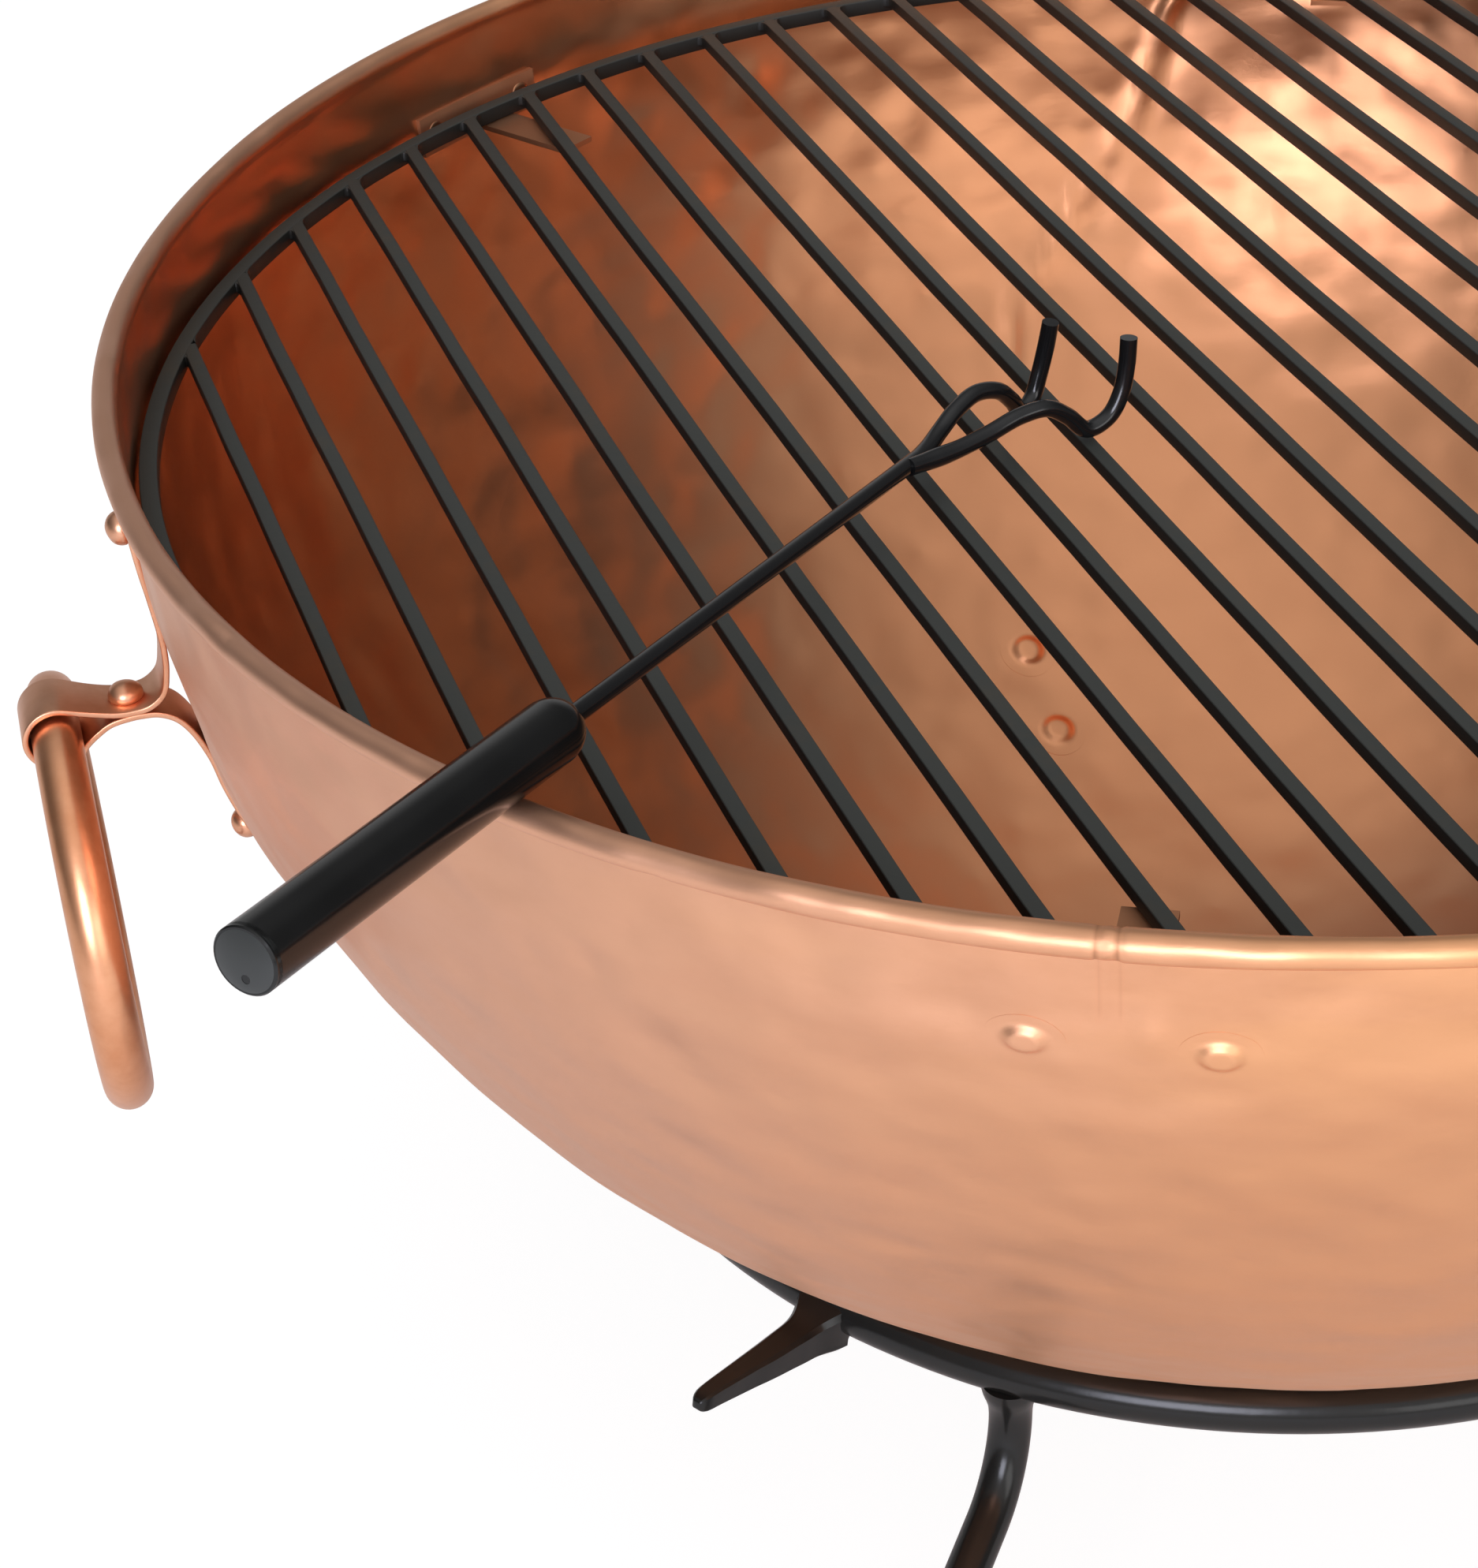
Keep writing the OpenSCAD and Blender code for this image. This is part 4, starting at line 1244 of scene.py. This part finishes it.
def weld_fillet(corner, along, aside, seed):
    """A small melted web in the corner between a bar's side and the ring."""
    rng = np.random.default_rng(seed)
    reach_along, reach_aside = rng.uniform(0.0035, 0.0060), rng.uniform(0.0030, 0.0048)
    steps, sunk = 7, 0.0008
    # Height and relative size of each layer of the web
    layers = ((-0.0012, 0.75), (-0.0004, 1.0), (0.0015, 1.0), (0.0027, 0.82))
    points = []
    for z, size in layers:
        points.append(corner - (along + aside) * sunk + Vector((0, 0, z)))
        for k in range(steps):
            t = k / (steps - 1)
            a = (1 - t) ** 2 * reach_along * size
            b = t ** 2 * reach_aside * size
            points.append(corner + along * a + aside * b + Vector((0, 0, z)))
    faces = ring_faces(len(layers), steps + 1) + end_faces(len(layers), steps + 1)
    return points, faces


def weld_fillets():
    """The fillets at both ends of every bar, two to an end."""
    sizes = bpy.context.scene.firepit_grate
    inside = sizes.radius - sizes.bar
    shapes = []
    for start, _ in grate_lines(0.0):
        for up in (-1, 1):
            for side in (-1, 1):
                x = start.x + side * sizes.slim / 2
                corner = Vector((x, up * math.sqrt(inside ** 2 - x ** 2), 0))
                round_ring = Vector((corner.y, -corner.x, 0)).normalized()
                aside = round_ring if round_ring.x * side > 0 else -round_ring
                shapes.append(weld_fillet(corner, Vector((0, -up, 0)), aside, len(shapes)))
    return shapes


class FIREPIT_OT_grate(Operator):
    """Weld up the bar grate"""
    bl_idname = "firepit.grate"
    bl_label = "Grate"

    def execute(self, context):
        sizes = context.scene.firepit_grate
        recipe = square_bar_recipe()
        black = finish("grate_black")
        place = grate_place()
        lines = grate_lines()
        nodes = [f"grate_bar_{k + 1:02d}" for k in range(len(lines))]
        bars = recipe.make(
            "grate_bars", path_mesh([(line, False) for line in lines]), Side=sizes.slim,
            Corner=0.0006, Pieces=40, Waver=0.0006, Waver_Scale=9.0, Material=black)
        flush = (sizes.bar - sizes.slim) / 2 - 0.0001
        bars.data.transform(Matrix.Translation((0, 0, flush)))
        middle = sizes.radius - sizes.bar / 2
        hoop = recipe.make(
            "grate_hoop", path_mesh([(circle(middle, 240), True)]), Side=sizes.bar, Corner=0.0006,
            Pieces=240, Waver=0.0004, Waver_Scale=8.0, Material=black)
        fillets = joined(weld_fillets(), "grate_welds")
        welds = coat(link_object("grate_welds", fillets), black)
        for piece, replaced in ((bars, nodes), (hoop, ["grate_ring"]), (welds, [])):
            piece.data.transform(place)
            soft_edges(piece, 16)
            settle(piece, "grate", "grate_steel", *replaced)
        return {"FINISHED"}


# Radius and height of a foot pad's outline
FOOT_OUTLINE = (
    (0, 0), (0.0155, 0), (0.017, 0.0012), (0.017, 0.0046), (0.0158, 0.006), (0.0095, 0.0066),
    (0.0078, 0.0085), (0, 0.0085))


def ring_middle():
    """Height of the middle of the stand's ring."""
    return middle_of("stand_ring").z


def leg_line():
    """Middle line of a leg as radius and height: a neck, an outward bend and a run down."""
    sizes = bpy.context.scene.firepit_stand
    bend, upper, lower, straight = math.radians(75), 0.032, 0.056, 0.046
    r, z = sizes.ring, ring_middle() - 0.017
    line = [(r, ring_middle() - 0.004), (r, z)]
    for t in np.linspace(0, bend, 14)[1:]:
        line.append((r + upper * (1 - math.cos(t)), z - upper * math.sin(t)))
    r, z = line[-1]
    r, z = r + straight * math.sin(bend), z - straight * math.cos(bend)
    line.append((r, z))
    foot, low = r + lower * (1 - math.cos(bend)), z - lower * math.sin(bend)
    for t in np.linspace(bend, 0, 18)[1:]:
        line.append((foot - lower * (1 - math.cos(t)), low + lower * math.sin(t)))
    return [*line, (foot, low - 0.02), (foot, 0.0055)]


class FIREPIT_OT_stand(Operator):
    """Bend and weld the stand"""
    bl_idname = "firepit.stand"
    bl_label = "Stand"

    def execute(self, context):
        sizes = context.scene.firepit_stand
        black = finish("stand_black")
        ring_z = ring_middle()
        hoop = round_bar(
            "stand_hoop", circle(sizes.ring, 220, ring_z), sizes.ring_bar / 2, 36,
            (0.00025, 11.0), "stand_black", closed=True)
        settle(hoop, "stand", "black_steel", "stand_ring")
        line = leg_line()
        for k in range(sizes.legs):
            a = sizes.first_leg + k * math.tau / sizes.legs
            path = curve_through([around(a, r, z) for r, z in line], 0.0025)
            below = ring_z - sizes.ring_bar / 2 - path[:, 2]
            flare = 0.0024 * hump(np.maximum(below + 0.002, 0), 0, 0.006)
            leg = round_bar(
                f"leg_{k + 1}", path, sizes.leg_bar / 2 + flare, 32, (0.00025, 16.0),
                "stand_black")
            settle(leg, "stand", "black_steel", f"stand_leg_{k + 1}")
            spike = horn_mesh(a + sizes.horn_turn, ring_z)
            horn = shaped(f"horn_{k + 1}", spike, black, 28)
            settle(horn, "stand", "black_steel", f"stand_horn_{k + 1}")
            disc = turned_mesh(FOOT_OUTLINE, 40)
            disc.transform(Matrix.Translation(around(a, line[-1][0])))
            pad = shaped(f"foot_{k + 1}", disc, black, 40)
            settle(pad, "stand", "black_steel", f"foot_pad_{k + 1}")
        return {"FINISHED"}


def horn_mesh(angle, ring_z):
    """A square spike, drawn out by hand: soft corners, a blunt tip and a welded root."""
    sizes = bpy.context.scene.firepit_stand
    length, root, tip, drop, blunt = 0.070, 0.0138, 0.0058, 0.008, 0.005
    lengths = np.concatenate([
        np.linspace(0.003, 0.020, 14), np.linspace(0.022, length - blunt, 22),
        length - blunt * (1 - np.sin(np.radians([20, 40, 58, 74, 86])))])
    section = [math.radians(90 * start + 45 + turn)
               for start in range(4) for turn in (-24, -8, 8, 24)]
    points = []
    for x in lengths:
        side = root + (tip - root) * x / length
        into_tip = max(0.0, (x - length + blunt) / blunt)
        side *= 0.35 + 0.65 * math.sqrt(max(0.0, 1 - into_tip ** 2))
        flare = 0.0065 * hump(max(0.0, x - 0.005), 0, 0.0075)
        for a in section:
            edge = side / 2 / max(abs(math.cos(a)), abs(math.sin(a)))
            edge = min(edge, side / 2 * 1.30)
            spread = flare * (0.25 + 0.75 * max(0.0, math.sin(a)))
            y = math.cos(a) * edge + math.copysign(spread, math.cos(a))
            h = math.sin(a) * edge + max(0.0, math.sin(a)) * flare
            points.append((x, y, h))
    sides, rows = len(section), len(lengths)
    faces = ring_faces(rows, sides) + end_faces(rows, sides)
    points = np.array(points)
    points[:, 1] += 0.00035 * waves(points, 0.012, 62)
    points[:, 2] += 0.00035 * waves(points, 0.012, 63)
    mesh = face_out(mesh_from(points, faces, "horn"))
    mesh.transform(
        Matrix.Rotation(angle, 4, "Z")
        @ Matrix.Translation((sizes.ring, 0, ring_z - drop))
        @ Matrix.Rotation(-sizes.horn_rise, 4, "Y"))
    return mesh


def fork_frame():
    """The fork's own frame: X along it from the rim, Z up, and how far it falls."""
    bowl = bpy.context.scene.firepit_bowl
    fork = bpy.context.scene.firepit_fork
    fall = fork.grip / 2 + GAP + 0.020
    slope = math.atan2(fall, fork.reach)
    start = bowl.rim_height + fork.grip / 2 / math.cos(slope) + GAP
    crossing = around(fork.crossing, bowl.rim_radius - bowl.roll / 2)
    return Matrix.Translation(crossing) @ Matrix.Rotation(fork.turn, 4, "Z"), slope, start


# Bends of the prongs in mm: along the fork past the rod's end, aside and up. The first row of a
# prong is measured up from the rod's end and the second from where a prong touches the grate.
PRONG_BENDS = {
    "left": (
        ((0, 0, 0), (12, 0.5, 1.5), (21, -1, 5), (30, -3.5, 6.8), (38, -7, 4.5), (45, -8.5, -2)),
        ((51, -9, 0.8), (57, -10, 3), (60.5, -11, 10), (62.5, -12.5, 19))),
    "right": (
        ((-3, -4.4, 0.4), (6, -8.5, 0.1), (18, -14, 1), (28, -19.5, 3), (36, -25, 2.8),
         (42, -29, -2)),
        ((48, -33, 0.7), (54.5, -37.5, 3), (58.5, -40, 10), (61, -40.8, 19)))}
# How far aside a prong starts, and where its tip is along the fork and aside, in mm
PRONG_ENDS = {"left": (0, 63, -14), "right": (-1, 62, -41)}


def prong_line(side):
    """Middle line of a prong in the fork's frame, from where it leaves the rod to its tip."""
    _, slope, start = fork_frame()
    scene = bpy.context.scene
    reach, rod = scene.firepit_fork.reach, scene.firepit_fork.rod
    rod_end = start - reach * math.tan(slope)
    touching = scene.firepit_grate.height + rod / 2 + GAP
    root = reach - 12 * MM
    start_aside, tip_along, tip_aside = PRONG_ENDS[side]
    line = [(root, start_aside * MM, start - root * math.tan(slope))]
    for base, bends in zip((rod_end, touching), PRONG_BENDS[side]):
        line += [(reach + along * MM, aside * MM, base + up * MM) for along, aside, up in bends]
    tip = scene.firepit_bowl.rim_height - 0.002
    return [*line, (reach + tip_along * MM, tip_aside * MM, tip)]


class FIREPIT_OT_fork(Operator):
    """Make the fork: grip, end cap, rod and prongs"""
    bl_idname = "firepit.fork"
    bl_label = "Fork"

    def execute(self, context):
        sizes = context.scene.firepit_fork
        turn, slope, start = fork_frame()

        def along(x):
            return turn @ Vector((x, 0, start - x * math.tan(slope)))

        def barrel(name, steps, material, slot, node):
            path, radii = [along(x) for x, _ in steps], [r for _, r in steps]
            piece = round_bar(name, path, radii, 48, (0.0, 10.0), material)
            settle(soft_edges(piece, 30), "fork", slot, node)

        thick, thin, cap_thickness = sizes.grip / 2, sizes.rod / 2, 0.0025
        first = -0.110
        last = first + 0.140 * math.cos(slope)
        body = [(first + cap_thickness, thick - 0.0004), (first + 0.0029, thick),
                (first + 0.03, thick)]
        for k in range(0, 11):
            a = math.radians(9 * k)
            narrower = (thick - 0.0036) * (1 - math.cos(a))
            body.append((last - 0.009 * (1 - math.sin(a)), thick - narrower))
        barrel("grip", body, "grip_black", "grip_black", "fork_grip")
        cap = cap_mesh(thick, cap_thickness)
        tilt = (along(0) - along(1)).to_track_quat("Z", "Y").to_matrix().to_4x4()
        cap.transform(Matrix.Translation(along(first + cap_thickness - 0.0001)) @ tilt)
        settle(shaped("grip_cap", cap, finish("cap_grey"), 30), "fork", "grip_cap", "fork_end_cap")
        far_end = sizes.reach - 0.0054
        places = [last - 0.02, last + 0.001, *np.linspace(last + 0.01, far_end, 30)]
        barrel("rod", [(x, thin) for x in places], "fork_black", "fork_steel", "fork_rod")
        step = 0.0012
        for side in PRONG_BENDS:
            path = curve_through([turn @ Vector(p) for p in prong_line(side)], step)
            run = np.arange(len(path)) * step
            weld = 0.0003 * hump(run, 0.012, 0.006)
            piece = round_bar(
                "prong_" + side, path, thin + weld, 28, (0.0001, 60.0), "fork_black")
            settle(soft_edges(piece, 50), "fork", "fork_steel", "fork_prong_" + side)
        return {"FINISHED"}


def cap_mesh(radius, thickness):
    """A disc with a soft edge and a small off-centre hole."""
    sides, hole, depth = 48, 0.0012, 0.0018
    off = -radius * 0.52
    rings = ((radius, -thickness + 0.0002, 0), (radius, -0.0010, 0), (radius - 0.0003, -0.0004, 0),
             (radius - 0.0011, 0, 0), (hole, 0, off), (hole, -depth, off))
    turns = [math.tau * k / sides for k in range(sides)]
    points = [(r * math.cos(a), y + r * math.sin(a), z) for r, z, y in rings for a in turns]
    faces = ring_faces(len(rings), sides) + end_faces(len(rings), sides)
    return face_out(mesh_from(points, faces, "cap"))


def soft_box(name, azimuth, elevation, distance, size, power, colour=(1, 1, 1)):
    """A wide lamp that looks at the bowl."""
    target = Vector((0, 0, 0.35))
    a, e = math.radians(azimuth), math.radians(elevation)
    back = Vector((math.cos(a) * math.cos(e), math.sin(a) * math.cos(e), math.sin(e)))
    data = bpy.data.lights.new(name, "AREA")
    data.shape, data.size, data.size_y = "RECTANGLE", size[0], size[1]
    data.energy, data.color = power, colour
    lamp = bpy.data.objects.new(name, data)
    lamp.location = target + back * distance
    lamp.rotation_mode = "QUATERNION"
    lamp.rotation_quaternion = back.to_track_quat("Z", "Y")
    bpy.context.scene.collection.objects.link(lamp)
    return lamp


# Where the camera stands, its height above the rim, and which way it looks and holds its top
CAMERA_PLACE = (-0.3872, -0.9122)
CAMERA_RISE = 0.4596
CAMERA_AHEAD = (0.1761, 0.8107, -0.5583)
CAMERA_ABOVE = (0.1934, 0.5276, 0.8271)
# Brightness of the room by how nearly a direction faces the window, and by height
WINDOW_LIGHT = (
    (0.0, 0.11), (0.35, 0.11), (0.5, 0.12), (0.625, 0.15), (0.72, 0.23), (0.82, 0.42),
    (0.91, 0.68), (0.97, 0.85), (1.0, 0.90))
CEILING_LIGHT = ((0.0, 0.0), (0.5, 0.02), (0.707, 0.17), (0.866, 0.36), (0.966, 0.60), (1.0, 0.72))


class FIREPIT_OT_stage(Operator):
    """Set up the floor, the light and the camera"""
    bl_idname = "firepit.stage"
    bl_label = "Stage"

    def execute(self, context):
        corners = [(x * 30, y * 30, -0.0006) for x, y in ((-1, -1), (1, -1), (1, 1), (-1, 1))]
        floor = link_object("floor", mesh_from(corners, [(0, 1, 2, 3)], "floor"))
        floor.data.materials.append(white_floor())
        self.light_the_room(context)
        soft_box("front_box", azimuth=240, elevation=19, distance=2.4, size=(0.9, 1.0),
                 power=24, colour=(1.0, 1.03, 1.22))
        soft_box("side_box", azimuth=288, elevation=12, distance=2.4, size=(1.7, 0.9), power=9)
        overhead = soft_box(
            "overhead", azimuth=315, elevation=80, distance=3.2, size=(3.4, 3.4), power=40)
        overhead.visible_glossy = False
        self.set_camera(context)
        context.scene.view_settings.view_transform = "Standard"
        return {"FINISHED"}

    @staticmethod
    def facing(work, way, azimuth, elevation):
        """1 looking towards a direction, 0.5 across it and 0 away from it."""
        a, e = math.radians(azimuth), math.radians(elevation)
        toward = (math.cos(a) * math.cos(e), math.sin(a) * math.cos(e), math.sin(e))
        share = work.add(
            "ShaderNodeVectorMath", {"operation": "DOT_PRODUCT"}, {0: way, 1: toward},
            out="Value")
        return share * 0.5 + 0.5

    def light_the_room(self, context):
        world = bpy.data.worlds.new("studio")
        context.scene.world = world
        world.use_nodes = True
        work = Shop(world.node_tree)
        seen = work.add("ShaderNodeLightPath", out="Is Camera Ray")
        way = work.add("ShaderNodeTexCoord", out="Generated")
        height = work.part(way, 2)
        window = work.ramp(self.facing(work, way, 268, 18), WINDOW_LIGHT)
        above = work.ramp(height, CEILING_LIGHT)
        far_wall = self.facing(work, way, 90, 0).between(0.78, 0.96)
        room = window + above + far_wall * (1 - height.between(0.25, 0.60)) * 0.35
        grey = work.add("ShaderNodeCombineColor", None, {0: room, 1: room, 2: room})
        colour = work.tint(seen, grey, (1, 1, 1))
        light = work.add("ShaderNodeBackground", None, {"Color": colour, "Strength": 1.0})
        work.add("ShaderNodeOutputWorld", None, {"Surface": light})

    @staticmethod
    def set_camera(context):
        data = bpy.data.cameras.new("camera")
        data.sensor_fit, data.sensor_height, data.sensor_width = "VERTICAL", 36.0, 36.0
        data.lens = context.scene.firepit_stage.lens
        data.clip_start, data.clip_end = 0.05, 100.0
        camera = bpy.data.objects.new("camera", data)
        context.scene.collection.objects.link(camera)
        ahead = Vector(CAMERA_AHEAD).normalized()
        right = ahead.cross(Vector(CAMERA_ABOVE)).normalized()
        turn = Matrix((right, right.cross(ahead), -ahead)).transposed().to_4x4()
        height = context.scene.firepit_bowl.rim_height + CAMERA_RISE
        camera.matrix_world = Matrix.Translation((*CAMERA_PLACE, height)) @ turn
        context.scene.camera = camera


class FIREPIT_PT_panel(Panel):
    """Buttons and sizes of the fire pit"""
    bl_idname = "FIREPIT_PT_panel"
    bl_label = "Fire Pit"
    bl_space_type = "VIEW_3D"
    bl_region_type = "UI"
    bl_category = "Fire Pit"

    def draw(self, context):
        for group in GROUPS:
            box = self.layout.box()
            settings = getattr(context.scene, "firepit_" + group)
            for key in settings.bl_rna.properties.keys():
                if key not in ("rna_type", "name"):
                    box.prop(settings, key)
        for operator in OPERATORS:
            self.layout.operator(operator.bl_idname)


GROUPS = {
    "bowl": BowlSizes, "handle": HandleSizes, "grate": GrateSizes, "stand": StandSizes,
    "fork": ForkSizes, "stage": StageLook}
OPERATORS = (
    FIREPIT_OT_bowl, FIREPIT_OT_rivets, FIREPIT_OT_straps, FIREPIT_OT_ring_handles,
    FIREPIT_OT_brackets, FIREPIT_OT_grate, FIREPIT_OT_stand, FIREPIT_OT_fork, FIREPIT_OT_stage)


def register():
    for cls in (*GROUPS.values(), *OPERATORS, FIREPIT_PT_panel):
        bpy.utils.register_class(cls)
    for name, cls in GROUPS.items():
        setattr(bpy.types.Scene, "firepit_" + name, PointerProperty(type=cls))


def unregister():
    for name in GROUPS:
        delattr(bpy.types.Scene, "firepit_" + name)
    for cls in reversed((*GROUPS.values(), *OPERATORS, FIREPIT_PT_panel)):
        bpy.utils.unregister_class(cls)


def main():
    register()
    for operator in OPERATORS:
        family, name = operator.bl_idname.split(".")
        getattr(getattr(bpy.ops, family), name)()


if __name__ == "__main__":
    main()
